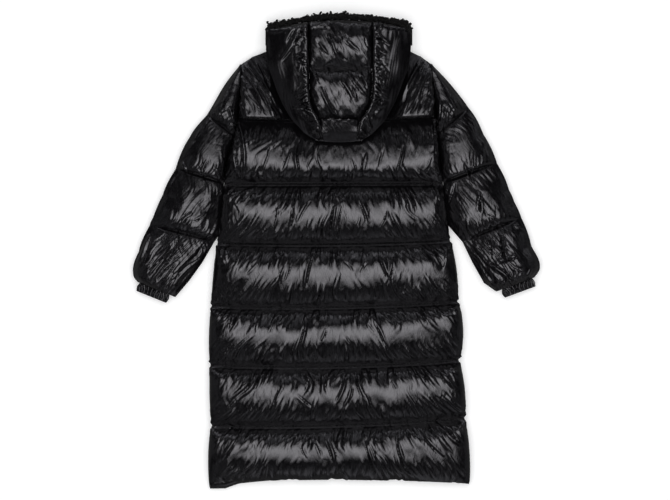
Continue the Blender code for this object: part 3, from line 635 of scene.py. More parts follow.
def channel_folds(x, below, above, rise, drop, seed, folds):
    """Gathers and pleats that come down from a channel's upper stitch line and up from its lower one."""
    down_run, up_run = fan_root(x, above, FAN), fan_root(x, below, -FAN)
    pulled = gathers(down_run, above, seed, 0.12, 1.0)
    pulled += gathers(up_run, below, seed + 1, 0.15, 0.8)
    pulled += pleats(down_run, above, seed + 4, 11.0, 1.7, 0.95 * drop)
    pulled += pleats(down_run, above, seed + 2, 20.0, folds, 1.08 * drop)
    pulled += pleats(up_run, below, seed + 3, 19.0, 4.8, rise)
    return pulled


def back_channels(x, y, heights):
    """Each point's place across its channel, that channel's crest there, and the relief of its folds."""
    v, crest, relief = np.zeros(x.shape), np.full(x.shape, 0.5), np.zeros(x.shape)
    lifted = CREST_END_LIFT * np.clip(np.abs(x) / HALF_BODY, 0, 1) ** 3
    for number, (low, high) in enumerate(zip(heights, heights[1:])):
        low_name, high_name = STITCHED[number:number + 2]
        seed = SEAM_SEEDS[high_name]
        within = (y >= low - 0.01) & (y < high)
        v = np.where(within, (y - low) / (high - low - SEAM_LEDGE), v)
        below, above = np.maximum(y - low, 0.0), np.maximum(high - y, 0.0)
        wave = 0.03 * bumps(x / 30.0, 0.0 * x, 30 + SEAM_SEEDS[low_name])
        zigzag = ZIGZAG * bumps(fan_root(x, above, FAN) / 11.0, 0.0 * x, 130 + seed)
        wave += zigzag * (0.6 + 0.6 * bumps(x / 60.0, 0.0 * x, 150 + seed))
        crest = np.where(within, np.minimum(CHANNEL_CRESTS[low_name] + lifted + wave, 0.8), crest)
        rise = CHANNEL_CRESTS[low_name] * (high - low)
        drop = (high - low) - rise
        folds = 2.6 if high_name == "yoke" else 6.4
        relief += np.where(within, channel_folds(x, below, above, rise, drop, seed, folds), 0.0)
    return v, crest, relief


def yoke_height(above_yoke):
    """The yoke's padding as a share of a channel's: fullest just above the seam, then sloping off."""
    beyond = np.maximum(above_yoke - YOKE_CREST, 0.0)
    fall = YOKE_SLOPE * (beyond - YOKE_TURN * (1.0 - np.exp(-beyond / YOKE_TURN)))
    height = filled(np.minimum(0.5 * above_yoke / YOKE_CREST, 0.5)) * (YOKE_LOFT - SEAM_LOFT) - fall
    return np.maximum(height, EDGE_WALL - SEAM_LOFT) / (BACK_LOFT - SEAM_LOFT)


def yoke_folds(x, y, above_yoke):
    """Folds that rise from the yoke seam, and the long ones that run from each shoulder to the hood."""
    run = x - YOKE_LEAN * above_yoke * np.sign(x)
    seam_pull = gathers(run, above_yoke, 77, 0.25, 0.42) + pleats(run, above_yoke, 79, 15.0, 4.4, 60.0)
    seam_pull += pleats(run, above_yoke, 81, 9.0, 1.2, 22.0)
    towards_hood = np.where(x < 0, drag_folds(x, y, *YOKE_DRAG["left"], 120),
                            drag_folds(x, y, *YOKE_DRAG["right"], 140))
    return seam_pull + towards_hood * (0.1 + 0.9 * ease((above_yoke - 12.0) / 30.0))


def back_grain(x, y, v, over):
    """Places across and along the pull: fanned out in the channels, and towards the hood in the yoke."""
    fanned = x / (1.0 + 0.09 * np.sin(np.pi * v)) + 7.0 * bumps(x / 70.0, y / 45.0, 21)
    left, right = (across_and_on(x, y, *YOKE_DRAG[side]) for side in SIDES)
    return (np.where(over, np.where(x < 0, left[0], right[0]), fanned),
            np.where(over, np.where(x < 0, left[1], right[1]), y))


def make_back(name, first, last, material):
    """The back between two named rows: filled channels and the yoke, pressed flat under the hood."""
    rows = body_stations(first, last, FINE_CELL)
    width = rows[:, 3] - rows[:, 0]
    x = rows[:, :1] + row_spread(width, round((np.max(width) - 2 * EDGE_POINTS[-1]) / CROSS_CELL))
    y = np.stack([row_height(row, line) for row, line in zip(rows, x)])
    heights = [row_height(BODY_ROWS[seam][:5], x) for seam in STITCHED]
    plan_x, plan_y = pinched_sides(x, y, heights[1:])
    plan_y = plan_y + hem_scallops(x) * (1.0 - ease((y - heights[0]) / HEM_TURN))
    v, crest, relief = back_channels(x, y, heights)
    over = y >= heights[-1]
    above_yoke = np.maximum(y - heights[-1], 0.0)
    high_side = np.where(y > heights[STITCHED.index("underarm")], UPPER_FULLNESS, FULLNESS)
    channel = np.where(over, yoke_height(above_yoke), filled(v, crest, FULLNESS, high_side))
    relief += np.where(over, yoke_folds(x, y, above_yoke), 0.0)
    relief += crumple(x, y, 8) * np.where(over, 0.05, 0.3 * np.clip(channel, 0.0, 1.0) ** 2)
    patches = np.clip(0.45 + 1.1 * bumps(x / 55.0, y / 30.0, 33), 0.0, 1.2) * np.where(over, 0.35, 1.0)
    relief += 0.8 * patches * bumps(x / 5.5 + 1.2 * bumps(x / 30.0, y / 22.0, 34), y / 26.0, 35)
    uneven = 2.6 * bumps(x / 90.0, y / 60.0, 5) + bumps(x / 34.0, y / 34.0, 6)
    loft = SEAM_LOFT + (BACK_LOFT - SEAM_LOFT + uneven) * channel
    seam_away = np.minimum.reduce([np.abs(y - height) for height in heights[1:]])
    loft -= SEAM_GROOVE * np.exp(-(seam_away / 2.0) ** 2)
    for number, side in enumerate(SIDES):
        away, run = to_path(x, y, ARMHOLES[side])
        loft = armhole_dip(loft, away, run)
        relief += gathers(run, away, 90 + number, 0.7, 0.55)
    relief += creases(x, y, BACK_CREASES, 3)
    from_hood = to_path(x, y, HOOD_OUTLINE + HOOD_OUTLINE[:1])[0]
    under_hood = inside(x, y, HOOD_OUTLINE)
    pressed = HOOD_BASE - LAYER_GAP - FRONT_LEVEL
    loft = np.minimum(loft, pressed + PRESS_SLOPE * np.where(under_hood, 0.0, from_hood))
    relief *= np.where(under_hood, 0.0, ease((from_hood - 2.0) / 22.0))
    to_left, to_right = (nearest_of(x, y, FREE_SIDES[side]) for side in SIDES)
    rounding = np.minimum(quarter_round(to_left, SIDE_ROUND["left"]),
                          quarter_round(to_right, SIDE_ROUND["right"]))
    loft = thinned(loft, rounding)
    relief *= 0.15 + 0.85 * ease(np.minimum(to_left, to_right) / 32.0)
    grain = back_grain(x, y, v, over)
    piece = padded_form(name, plan_x, plan_y, loft, relief, FRONT_LEVEL, material, grain=grain)
    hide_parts("back")


# --- Sleeves ------------------------------------------------------------------------------------------------


def sleeve_ends(side, place):
    """Outer and inner end points of the sleeve's rows at places along it."""
    way = OUTWARD[side]
    table = SLEEVE_ROWS[side]
    stops, edge_x, edge_y = zip(*smooth_path([row[:3] for row in table]))
    outer_x = np.interp(place, stops, edge_x)
    outer_y = np.interp(place, stops, edge_y)
    for (start, *_, bulge), (end, *_) in zip(table, table[1:]):
        within = (place >= start) & (place < end)
        outer_x += np.where(within, way * bulge * np.sin(np.pi * (place - start) / (end - start)), 0.0)
    armhole = ARMHOLES[side]
    inner_rows = [row for row in table if row[3] is not None]
    inner_stops = list(ARMHOLE_PLACES.values()) + [row[0] for row in inner_rows]
    inner_x = [px + way * SEAM_GAP for px, _ in armhole] + [row[3] for row in inner_rows]
    inner_y = [py for _, py in armhole] + [row[4] for row in inner_rows]
    return outer_x, outer_y, np.interp(place, inner_stops, inner_x), np.interp(place, inner_stops, inner_y)


def sleeve_grid(side, cell):
    """Places along and across a sleeve, and their plan points, in rows from the shoulder to the cuff."""
    table = SLEEVE_ROWS[side]
    places = []
    for row, following in zip(table, table[1:]):
        length = math.hypot(following[1] - row[1], following[2] - row[2])
        count = max(2, round(length / cell))
        places += list(np.linspace(row[0], following[0], count, endpoint=False))
    place = np.array(places + [float(SLEEVE_END)])
    ax, ay, bx, by = sleeve_ends(side, place)
    width = np.hypot(bx - ax, by - ay)
    cross = SLEEVE_CROSS_CELL if cell == SLEEVE_CELL else cell
    spread = row_spread(width, round(np.max(width) / cross)) / width[:, None]
    x = ax[:, None] + (bx - ax)[:, None] * spread
    y = ay[:, None] + (by - ay)[:, None] * spread
    return place[:, None] + 0 * x, spread, x, y


def sleeve_place_across(place):
    """Where a row lies across its channel. Above the first seam it rises to the crest and stays there."""
    v = np.where(place < SLEEVE_SEAMS[0], np.maximum(0.5, place / SLEEVE_SEAMS[0]), 1.0)
    for before, after in zip(SLEEVE_SEAMS, SLEEVE_SEAMS[1:]):
        v = np.where((place >= before) & (place < after), (place - before) / (after - before), v)
    return v


def sleeve_edges(side):
    """A sleeve's outer edge, its inner edge below the underarm, its armhole and its end."""
    place = np.linspace(0, SLEEVE_END, 105)
    ax, ay, bx, by = sleeve_ends(side, place)
    outer = list(zip(ax, ay))
    inner = list(zip(bx, by))
    underarm = int(np.searchsorted(place, ARMHOLE_PLACES["underarm"]))
    return outer, inner[underarm:], inner[:underarm + 1], [outer[-1], inner[-1]]


# How far across each sleeve's padding is fullest, from its outer edge, at places along it
SLEEVE_CRESTS = ([0.0, 8.0, 10.0, 15.0, 22.0, 26.0], [0.62, 0.66, 0.68, 0.56, 0.46, 0.46])
# and where each channel is fullest, as a share of the way down it
SLEEVE_CHANNEL_CRESTS = ([8.0, 11.9, 12.1, 17.9, 18.1, 26.0], [0.84, 0.84, 0.72, 0.72, 0.58, 0.58])
# The way the folds run in each sleeve below the underarm
SLEEVE_DRAG = {"left": ((-422, 28), (-498, -55)), "right": ((430, 20), (500, -65))}
SLEEVE_SEEDS = {"left": 200, "right": 240}
CAP_PLACE = 6.4         # the sleeve's top swells up to here, and is rounded from here to its first seam
CAP_START = 0.12        # how full it is at the shoulder's tip
GRAIN_STEP = 27.0       # millimetres of cloth to one place along the sleeve


def sleeve_fullness(place):
    """How full the padding is along a sleeve: a swelling top, and then channels that hang full."""
    cap = CAP_START + (1.0 - CAP_START) * np.clip(place / CAP_PLACE, 0.0, 1.0) ** 1.6
    rounded = filled(0.5 + 0.5 * (place - CAP_PLACE) / (SLEEVE_SEAMS[0] - CAP_PLACE))
    cap = np.where(place > CAP_PLACE, rounded, cap)
    fullest = np.interp(place, *SLEEVE_CHANNEL_CRESTS)
    return np.where(place < SLEEVE_SEAMS[0], cap, filled(sleeve_place_across(place), fullest, 1.9, 3.2))


def make_sleeve_back(side, material):
    """The sleeve's back layer: swelling channels, folds beside each seam, and slanting folds lower down."""
    place, across, x, y = sleeve_grid(side, SLEEVE_CELL)
    outer, inner, armhole, _ = sleeve_edges(side)
    seed = SLEEVE_SEEDS[side]
    uneven = 2.5 * bumps(x / 60.0, y / 60.0, seed + 1)
    loft = SLEEVE_SEAM_LOFT + (SLEEVE_FULL_LOFT - SLEEVE_SEAM_LOFT + uneven) * sleeve_fullness(place)
    to_armhole, armhole_run = to_path(x, y, armhole)
    loft = armhole_dip(loft, to_armhole, armhole_run)
    relief = gathers(armhole_run, to_armhole, seed + 2, 0.6, 0.6)
    for number, seam in enumerate(SLEEVE_SEAMS):
        ends = sleeve_ends(side, np.array([float(seam)]))
        away, run = to_path(x, y, [(ends[0][0], ends[1][0]), (ends[2][0], ends[3][0])])
        near = ((place >= seam - 8) & (place <= seam + 7)).astype(float)
        below = ((place >= seam) if seam < SLEEVE_END else (place < 0)).astype(float)
        pull = 1.0 - 0.45 * below
        leaning = run + 0.25 * away * OUTWARD[side]
        relief += near * pull * gathers(leaning, away, seed + 5 + 3 * number, 0.5, 0.62)
        relief += near * pull * pleats(leaning, away, seed + 40 + 3 * number, 13.0, 4.2, 60.0)
        loft -= 0.6 * SEAM_GROOVE * np.exp(-(away / 2.0) ** 2) * (near * (seam < SLEEVE_END))
    to_outer, to_inner = (to_path(x, y, edge)[0] for edge in (outer, inner))
    worn = ease((to_outer - 20.0) / 70.0)
    last_channel = ease((place - SLEEVE_SEAMS[2]) / 2.0)
    crumpled = crumple(x, y, seed + 4) * (0.2 + 0.5 * worn) * (1.0 + last_channel)
    relief = relief * (0.45 + 0.55 * worn) + crumpled
    dragged = 0.4 * ease((place - SLEEVE_SEAMS[1]) / 3.0) + 0.6 * last_channel
    relief += drag_folds(x, y, *SLEEVE_DRAG[side], seed + 60) * dragged * worn
    relief += creases(x, y, SLEEVE_CREASES[side], seed) * (1.0 + 0.4 * last_channel)
    crest = np.interp(place, *SLEEVE_CRESTS) - (0.09 * last_channel if side == "left" else 0.0)
    crest = crest + 0.07 * bumps(x / 40.0, y / 40.0, seed + 21)
    outer_side = filled(np.minimum(across, crest), crest, 2.5, 2.5)
    inner_side = filled(np.maximum(across, crest), crest, 2.6, 2.6)
    hanging = ease((place - 11.0) / 3.0)
    rounding = quarter_round(to_outer, 16.0) * outer_side * blend_between(1.0, inner_side, hanging)
    rounding = np.minimum(rounding, quarter_round(to_inner, SLEEVE_ROUND_INNER))
    loft = thinned(loft, rounding)
    relief *= 0.3 + 0.7 * ease(np.minimum(to_outer, to_inner) / 16.0)
    grain_across = np.hypot(x - x[:, :1], y - y[:, :1]) + 6.0 * bumps(x / 60.0, y / 50.0, seed + 20)
    grain_along = GRAIN_STEP * place
    if side == "right":
        x, y, loft, relief = mirrored(x, y, loft, relief)
        grain_across, grain_along = mirrored(grain_across, grain_along)
    piece = padded_form(f"{side}_sleeve_over", x, y, loft, relief, FRONT_LEVEL, material,
                        grain=(grain_across, grain_along))
    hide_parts(f"sleeve_{side}_back")


def make_sleeve_front(side, material):
    """The sleeve's front layer, which lies on the floor: shallow channels, rounded up at its edges."""
    place, _, x, y = sleeve_grid(side, HIDDEN_CELL)
    outer, inner, _, wrist = sleeve_edges(side)
    full = FRONT_LEVEL - LAYER_GAP
    pinch = 1.0 - filled(sleeve_place_across(place))
    edge = nearest_of(x, y, [outer, inner, wrist])
    loft = full * quarter_round(edge, FRONT_ROUND) - 3.0 * pinch ** 4
    loft = np.maximum(EDGE_WALL, pinched(loft, pinch, edge))
    relief = hollows(x, y, 0.8, 26.0, 26.0, 260, edge, 10.0)
    fall = 9.0 * (1.0 - quarter_round(edge, 16.0))
    if side == "right":
        x, y, loft, relief, fall = mirrored(x, y, loft, relief, fall)
    piece = padded_form(f"{side}_sleeve_under", x, y, loft, relief, full, material, up=False, fall=fall)
    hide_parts(f"sleeve_{side}_front")


# --- Cuffs --------------------------------------------------------------------------------------------------


CUFF_SEEDS = {"left": 300, "right": 310}


def make_cuff(side, material):
    """A gathered elastic cuff: a flattened tube with a thin slit, standing on the sleeve's end."""
    ends = sleeve_ends(side, np.array([float(SLEEVE_END)]))
    start, end = Vector((ends[0][0], ends[1][0])), Vector((ends[2][0], ends[3][0]))
    across = (end - start).normalized()
    outward = Vector((across.y, -across.x))
    if outward.y > 0:
        outward.negate()
    middle = start + across * (CUFF_WIDTH / 2 + 1.0)
    straight = CUFF_WIDTH / 2 - CUFF_END_ROUND
    bend = math.pi * CUFF_END_ROUND
    girth = 4 * straight + 2 * bend
    count = CUFF_GATHERS * CUFF_POINTS
    s = girth * np.arange(count) / count
    flip = np.where(s < girth / 2, 1.0, -1.0)
    s_half = s % (girth / 2)
    on_flat = s_half < 2 * straight
    turn = np.where(on_flat, 0.0, (s_half - 2 * straight) / CUFF_END_ROUND)
    centre = np.where(on_flat, s_half - straight, straight)
    seed = CUFF_SEEDS[side]

    def loop(depth, radius):
        """Points round the cuff at a depth, at their distances from its flat middle."""
        u = flip * (centre + radius * np.sin(turn))
        z = CUFF_LEVEL + flip * radius * np.cos(turn)
        px = middle.x + across.x * u + outward.x * depth
        py = middle.y + across.y * u + outward.y * depth
        return np.stack([px, py, z], -1)

    def gathered(depth, share):
        """How far the gathers stand out round the cuff at a depth."""
        gather = girth / CUFF_GATHERS
        phase = s / gather + 0.5 * bumps(s / 17.0, 0 * s + depth / 14.0, seed)
        fold = (1.0 - np.abs(2.0 * (phase % 1.0) - 1.0)) ** 1.3
        fold *= 0.85 + 0.3 * bumps(s / 9.0, 0 * s, seed + 1)
        small = 0.35 * bumps(s / 3.4, 0 * s + depth / 7.0, seed + 2)
        elastic = 0.7 * math.cos(2 * math.pi * depth / (CUFF_DEPTH / 3)) ** 4
        standing = share * (0.8 + CUFF_GATHER_TALL * fold + small)
        return CUFF_END_ROUND - CUFF_SUNK + standing - elastic * share

    depths = np.linspace(SEAM_GAP, CUFF_DEPTH, CUFF_RINGS)
    middle_share = 1.0 - np.abs(2.0 * (depths - depths[0]) / (depths[-1] - depths[0]) - 1.0)
    shares = 0.3 + 0.7 * middle_share ** 0.7
    loops = [loop(d, gathered(d, share)) for d, share in zip(depths, shares)]
    loops += [loop(CUFF_DEPTH - 1.2, np.full(count, CUFF_END_ROUND - 5.0)),
              loop(CUFF_DEPTH - 3.0, np.full(count, CUFF_SLIT_ROUND)),
              loop(SEAM_GAP, np.full(count, CUFF_SLIT_ROUND))]
    rings = len(loops)
    number = np.arange(rings * count).reshape(rings, count)
    following = np.roll(number, -1, axis=0)
    faces = np.stack([number, np.roll(number, -1, axis=1), np.roll(following, -1, axis=1), following], -1)
    faces = faces.reshape(-1, 4)
    if side == "left":
        faces = faces[:, ::-1]
    piece = mesh_piece(f"{side}_cuff", np.concatenate(loops), faces.tolist(), material, 80.0)
    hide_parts(f"cuff_{side}")


# --- Fronts, placket and chin -------------------------------------------------------------------------------


FRONTS_PART = 480       # above this height the fronts part at the neckline
# Heights of the fronts' rows above the yoke seam
UPPER_FRONT_ROWS = [372, 386, 400, 414, 428, 442, 459, 470, FRONTS_PART, 481, 487, 494, 499, 504, 511, 518,
                    524, 532, 541, 547, 554]
FRONT_COLUMNS = 46


def make_front(side, material):
    """One front, from the side edge to the centre line or to the neckline above it."""
    way = OUTWARD[side]
    rows = body_stations("hem", "yoke", HIDDEN_CELL, FRONT_HEM)
    edge_path = sorted((y, x) for x, y in BODY_SIDES[side] if y > 300)
    outer = [side_end(row, side) for row in rows]
    outer += [(along(edge_path, h), h) for h in UPPER_FRONT_ROWS]
    channel = PLACKET_WIDTH / 2 + SEAM_GAP
    grid_x, grid_y = [], []
    for number, (outer_x, outer_y) in enumerate(outer):
        inner_x = CENTRE_X + way * (along(NECKLINE, outer_y) if outer_y > FRONTS_PART else 0.15)
        width = abs(inner_x - outer_x)
        shrink = min(1.0, width / 60.0)
        start = EDGE_POINTS * shrink
        if outer_y <= FRONTS_PART:
            tail = np.array([width - channel - 1, width - channel, width])
        else:
            tail = width - EDGE_POINTS[:3][::-1] * shrink
        even = np.linspace(start[-1], tail[0], FRONT_COLUMNS + 1)[1:-1]
        spread = np.concatenate([start, even, tail])
        line = outer_x - way * spread
        grid_x.append(line)
        row = rows[number] if number < len(rows) else None
        grid_y.append(row_height(row, line) if row is not None else np.full(len(line), outer_y))
    x, y = np.array(grid_x), np.array(grid_y)
    hangs = np.interp(x, [FRONT_HEM[0], FRONT_HEM_CORNER, FRONT_HEM_CORNER + 38.0], [4.0, 9.0, 0.0])
    y = y - hangs * (1.0 - ease((y + 640.0) / 40.0))
    full = FRONT_LEVEL - LAYER_GAP
    free = FREE_SIDES[side]
    hem = [(px, row_height(FRONT_HEM[:5], px)) for px in np.linspace(FRONT_HEM[0], FRONT_HEM[3], 20)]
    edge = np.minimum(nearest_of(x, y, free), to_path(x, y, hem)[0] + 12.0)
    heights = [row_height(BODY_ROWS[seam][:5], x) for seam in STITCHED]
    seam_away = np.minimum.reduce([np.abs(y - h) for h in heights[1:]])
    pinch = np.clip(1.0 - seam_away / 60.0, 0.0, 1.0)
    loft = full * quarter_round(edge, FRONT_ROUND) - 3.0 * pinch ** 5
    loft = pinched(loft, pinch, edge)
    let_in = (np.abs(x - CENTRE_X) < channel + 0.5) & (y < 479)
    loft = np.where(let_in, np.minimum(loft, full - PLACKET_THICKNESS - LAYER_GAP), loft)
    loft = np.maximum(EDGE_WALL, loft)
    relief = hollows(x, y, 0.9, 30.0, 24.0, 320, edge, 10.0) * (~let_in)
    edge_grid = np.minimum.reduce([nearest_of(x, y, free), np.abs(x - x[:, :1]), y - y[:1]])
    if side == "right":
        x, y, loft, relief, edge_grid = mirrored(x, y, loft, relief, edge_grid)
    fall = 14.0 * (1.0 - quarter_round(edge_grid, 22.0))
    piece = padded_form(f"front_{side}_panel", x, y, loft, relief, full, material, up=False, fall=fall)
    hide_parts(f"front_{side}")


def make_placket(material):
    """The strip that covers the closure, let in flush with the underside of both fronts."""
    y_line = np.concatenate([PLACKET_FOOT_Y + EDGE_POINTS,
                             np.arange(PLACKET_FOOT_Y + 12, PLACKET_HEAD_Y - 11, 5.0),
                             PLACKET_HEAD_Y - EDGE_POINTS[::-1]])
    x_line = CENTRE_X - PLACKET_WIDTH / 2 + row_spread([PLACKET_WIDTH], 16)[0]
    x, y = np.meshgrid(x_line, y_line)
    edge = np.minimum.reduce([x - x_line[0], x_line[-1] - x, y - y_line[0], y_line[-1] - y])
    stitched = np.exp(-((edge - 6.0) / 1.2) ** 2)
    loft = np.maximum(0.5, PLACKET_THICKNESS * quarter_round(edge, 3.5) - 1.2 * stitched)
    relief = hollows(x, y, 0.5, 14.0, 22.0, 330, edge, 4.0)
    piece = padded_form("closure_placket", x, y, loft, relief, PLACKET_THICKNESS, material, up=False)
    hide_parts("front_placket")


def make_chin(material):
    """The hood's chin part, which stands on the front neckline and lies on the floor."""
    rows = [(h + SEAM_GAP, half - 2 * SEAM_GAP) for h, half in NECKLINE[1:]] + CHIN_SIDES
    stops = np.array([row[0] for row in rows])
    halves = np.array([row[1] for row in rows])
    levels = np.arange(stops[0], stops[-1], 4.0)
    last_y, last_half = rows[-1]
    turns = 2 * row_spread([2 * last_half], 70)[0] / (2 * last_half) - 1
    lines = [(h, np.interp(h, stops, halves), 0.0) for h in levels]
    lines += [(last_y, last_half, t) for t in (0.0, 0.2, 0.4, 0.6, 0.8, 0.93, 1.0)]
    x = np.array([CENTRE_X + half * turns for _, half, _ in lines])
    top = CHIN_TOP_Y - CHIN_TOP_FALL * turns ** 2
    y = np.array([blend_between(np.full(turns.shape, h), top, share) for h, _, share in lines])
    free = [(CENTRE_X - half, h) for h, half in CHIN_SIDES] + list(zip(x[-1], y[-1]))
    free += [(CENTRE_X + half, h) for h, half in CHIN_SIDES[::-1]]
    edge = to_path(x, y, free)[0]
    loft = np.maximum(EDGE_WALL, CHIN_LEVEL * quarter_round(edge, LINING_ROUND))
    relief = hollows(x, y, 0.8, 20.0, 20.0, 340, edge, 8.0)
    piece = padded_form("hood_chin_part", x, y, loft, relief, CHIN_LEVEL, material, up=False)
    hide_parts("hood_chin")


# --- Hood ---------------------------------------------------------------------------------------------------

HOOD_STOPS = np.array([row[0] for row in HOOD_ROWS], float)


def hood_line(column, y):
    """Where one of the hood's edges or seams lies at a height."""
    xs, ys = zip(*smooth_path([(row[column], row[0]) for row in HOOD_ROWS]))
    return np.interp(y, ys, xs)


def hood_sag(x, y):
    """How far the crown roll hangs below its first row, most at the middle."""
    hang = np.clip(1.0 - ((x - 8.0) / 66.0) ** 2, 0.0, 1.0)
    return 5.0 * hang * (1.0 - ease((y - HOOD_STOPS[0]) / 30.0))


def hood_grid(first, second, edge_x, shift, cell):
    """Plan points of one hood panel: rows from the crown roll, fanned to the face opening's edge."""
    levels = np.arange(HOOD_STOPS[0], HOOD_STOPS[-1], cell)
    last_a, last_b = HOOD_ROWS[-1][first], HOOD_ROWS[-1][second] + shift
    shares = np.concatenate([np.linspace(0, 0.85, 12), [0.9, 0.94, 0.97, 0.99, 1.0]])
    a = np.concatenate([hood_line(first, levels), blend_between(last_a, edge_x, shares)])
    b = np.concatenate([hood_line(second, levels) + shift, np.full(len(shares), last_b)])
    share = np.concatenate([np.zeros(len(levels)), shares])
    base_y = np.concatenate([levels, np.full(len(shares), HOOD_STOPS[-1])])
    width = np.abs(b - a)
    spread = row_spread(width, round(np.max(width) / cell)) / width[:, None]
    x = a[:, None] + (b - a)[:, None] * spread
    y = base_y[:, None] + (along(HOOD_EDGE_CURVE, x) - base_y[:, None]) * share[:, None]
    return x, y - hood_sag(x, y)


HOOD_SEAM_PATHS = [smooth_path([(row[column], row[0]) for row in HOOD_ROWS])
                   + [(HOOD_ROWS[-1][column], float(along(HOOD_EDGE_CURVE, HOOD_ROWS[-1][column])))]
                   for column in (2, 3)]
HOOD_ROLL = [(px, HOOD_STOPS[0] - hood_sag(px, HOOD_STOPS[0])) for px in np.linspace(-50.0, 66.0, 15)]
HOOD_FREE = [HOOD_LEFT, HOOD_RIGHT, HOOD_ROLL]
# The way the long folds run in the hood's middle strip and in each of its sides
HOOD_STRIP_DRAG = ((-20, 580), (60, 440))
HOOD_SIDE_DRAG = {"hood_left": ((-150, 600), (-104, 360)), "hood_right": ((160, 600), (112, 360))}
HOOD_SIDE_RISE = {"hood_left": 38.0, "hood_right": 33.5}    # how much each side rises from its edge
HOOD_SIDE_SEAM_ROUND = 9.0
HOOD_CELL = 2.1


def shape_strip(x, y, relief, seed):
    """The middle strip: quilted channels over a rolled foot, with gathers, long folds and a ruffle."""
    roll_top = HOOD_QUILT_LINES[1]
    above, below = y > roll_top, y < roll_top
    height = np.full(x.shape, HOOD_LOFT)
    for low, high in zip(HOOD_QUILT_LINES, HOOD_QUILT_LINES[1:]):
        within = (y >= low) & (y < high)
        channel = filled((y - low) / (high - low), 0.42 if low > 400 else 0.6)
        height = np.where(within, blend_between(HOOD_SEAM_LOFT, HOOD_LOFT + 5, channel), height)
        pulled = gathers(x, np.minimum(y - low, high - y).clip(0), seed + low, 0.8, 0.6)
        relief += np.where(within & above, pulled, 0)
    relief += 0.3 * drag_folds(x, y, *HOOD_STRIP_DRAG, seed + 30) * above
    relief += bumps(x / 15.0, y / 19.0, seed + 31) * above
    ruffle = np.exp(-np.maximum(roll_top - y, 0.0) / 5.0) * below
    relief += 2.2 * ruffle * bumps(x / 4.5, y / 9.0, seed + 15)
    roll = (y - HOOD_STOPS[0] + 5.0) / (roll_top - HOOD_STOPS[0] + 5.0)
    height = np.where(below, 4.0 + 27.0 * np.clip(roll, 0, 1) ** 0.9, height)
    height += np.where(below, 0.3, 2.2) * bumps(x / 30.0, y / 30.0, seed + 3)
    return height, relief


def shape_side(node, x, y, relief, to_seam, seam_run, to_edge, seed):
    """A side: ruched beside the strip's seam, with long folds, and sloping down to its outer edge."""
    ruched = 1.0 - ease((to_seam - HOOD_RUCHED) / (1.3 * HOOD_RUCHED))
    turned = seam_run + 1.1 * to_seam * bumps(seam_run / 30.0, 0 * x, seed + 12)
    relief += pleats(turned, to_seam, seed + 13, 10.0, 7.0, 36.0)
    relief += pleats(turned, to_seam, seed + 16, 14.0, 6.0, 52.0)
    relief += 0.6 * ruched * bumps(turned / 5.0, to_seam / 9.0, seed + 14) * ease(to_seam / 5.0)
    across = to_edge / np.maximum(to_seam + to_edge - 4.0, 1.0)
    height = 4.0 + HOOD_SIDE_RISE[node] * np.clip(across, 0.0, 1.0)
    relief += 0.13 * drag_folds(x, y, *HOOD_SIDE_DRAG[node], seed + 30) * ease(to_seam / 30.0)
    height += 1.6 * bumps(x / 34.0, y / 70.0, seed + 3)
    return height, relief


def make_hood_panel(name, node, first, second, edge_x, shift, material, seed):
    """The hood's middle strip or one of its sides, between two of its edges and seams."""
    x, y = hood_grid(first, second, edge_x, shift, HOOD_CELL)
    strip = node == "hood_centre"
    to_opening, opening_run = to_path(x, y, HOOD_EDGE)
    (to_left, left_run), (to_right, right_run) = (to_path(x, y, path) for path in HOOD_SEAM_PATHS)
    to_seam = np.minimum(to_left, to_right)
    seam_run = np.where(to_left < to_right, left_run, right_run + 500.0)
    to_edge = nearest_of(x, y, HOOD_FREE)
    relief = gathers(seam_run, to_seam, seed, 0.5, 0.35)
    if strip:
        height, relief = shape_strip(x, y, relief, seed)
        seam_round, smooth = HOOD_SEAM_ROUND, y < HOOD_QUILT_LINES[1]
    else:
        height, relief = shape_side(node, x, y, relief, to_seam, seam_run, to_edge, seed)
        seam_round, smooth = HOOD_SIDE_SEAM_ROUND, to_seam > 1.3 * HOOD_RUCHED
    rounded = quarter_round(to_seam, seam_round)
    height = HOOD_SEAM_LOFT + (height - HOOD_SEAM_LOFT) * np.where(height > HOOD_SEAM_LOFT, rounded, 1.0)
    relief += crumple(x, y, seed + 6) * np.where(smooth, 0.15, 1.5)
    relief += 1.35 * creases(x, y, HOOD_CREASES, seed)
    relief += gathers(opening_run, to_opening, seed + 9, 0.6, 0.5)
    relief *= 0.2 + 0.8 * ease(to_edge / 14.0)
    rounding = quarter_round(to_opening, HOOD_OPENING_ROUND) * quarter_round(to_edge, 28.0)
    loft = thinned(height, rounding)
    relief *= ease(to_opening / 6.0)
    relief = np.minimum(relief, HOOD_HIGHEST - loft)
    if first > second:
        x, y, loft, relief = mirrored(x, y, loft, relief)
    grain = (x + 0.45 * y, y) if strip else across_and_on(x, y, *HOOD_SIDE_DRAG[node])
    piece = padded_form(name, x, y, loft, relief, HOOD_LEVEL + LAYER_GAP, material, grain=grain)
    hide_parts(node)


def make_hood_under(material):
    """The hood's hidden layers, rolled together between the pressed back and the visible shell."""
    levels = np.arange(HOOD_STOPS[0], 553.0, 5.0)
    a, b = hood_line(1, levels), hood_line(4, levels)
    spread = row_spread(b - a, 60)
    x = a[:, None] + spread
    y = levels[:, None] + 0 * x
    edge = nearest_of(x, y, HOOD_FREE)
    loft = np.maximum(EDGE_WALL, (HOOD_LEVEL - HOOD_BASE) * quarter_round(edge, HOOD_ROLL_ROUND))
    relief = hollows(x, y, 0.8, 24.0, 24.0, 350, edge, 8.0)
    piece = padded_form("hood_rolled_layers", x, y, loft, relief, HOOD_LEVEL, material, up=False)
    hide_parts("hood_under")


# --- Shearling ----------------------------------------------------------------------------------------------

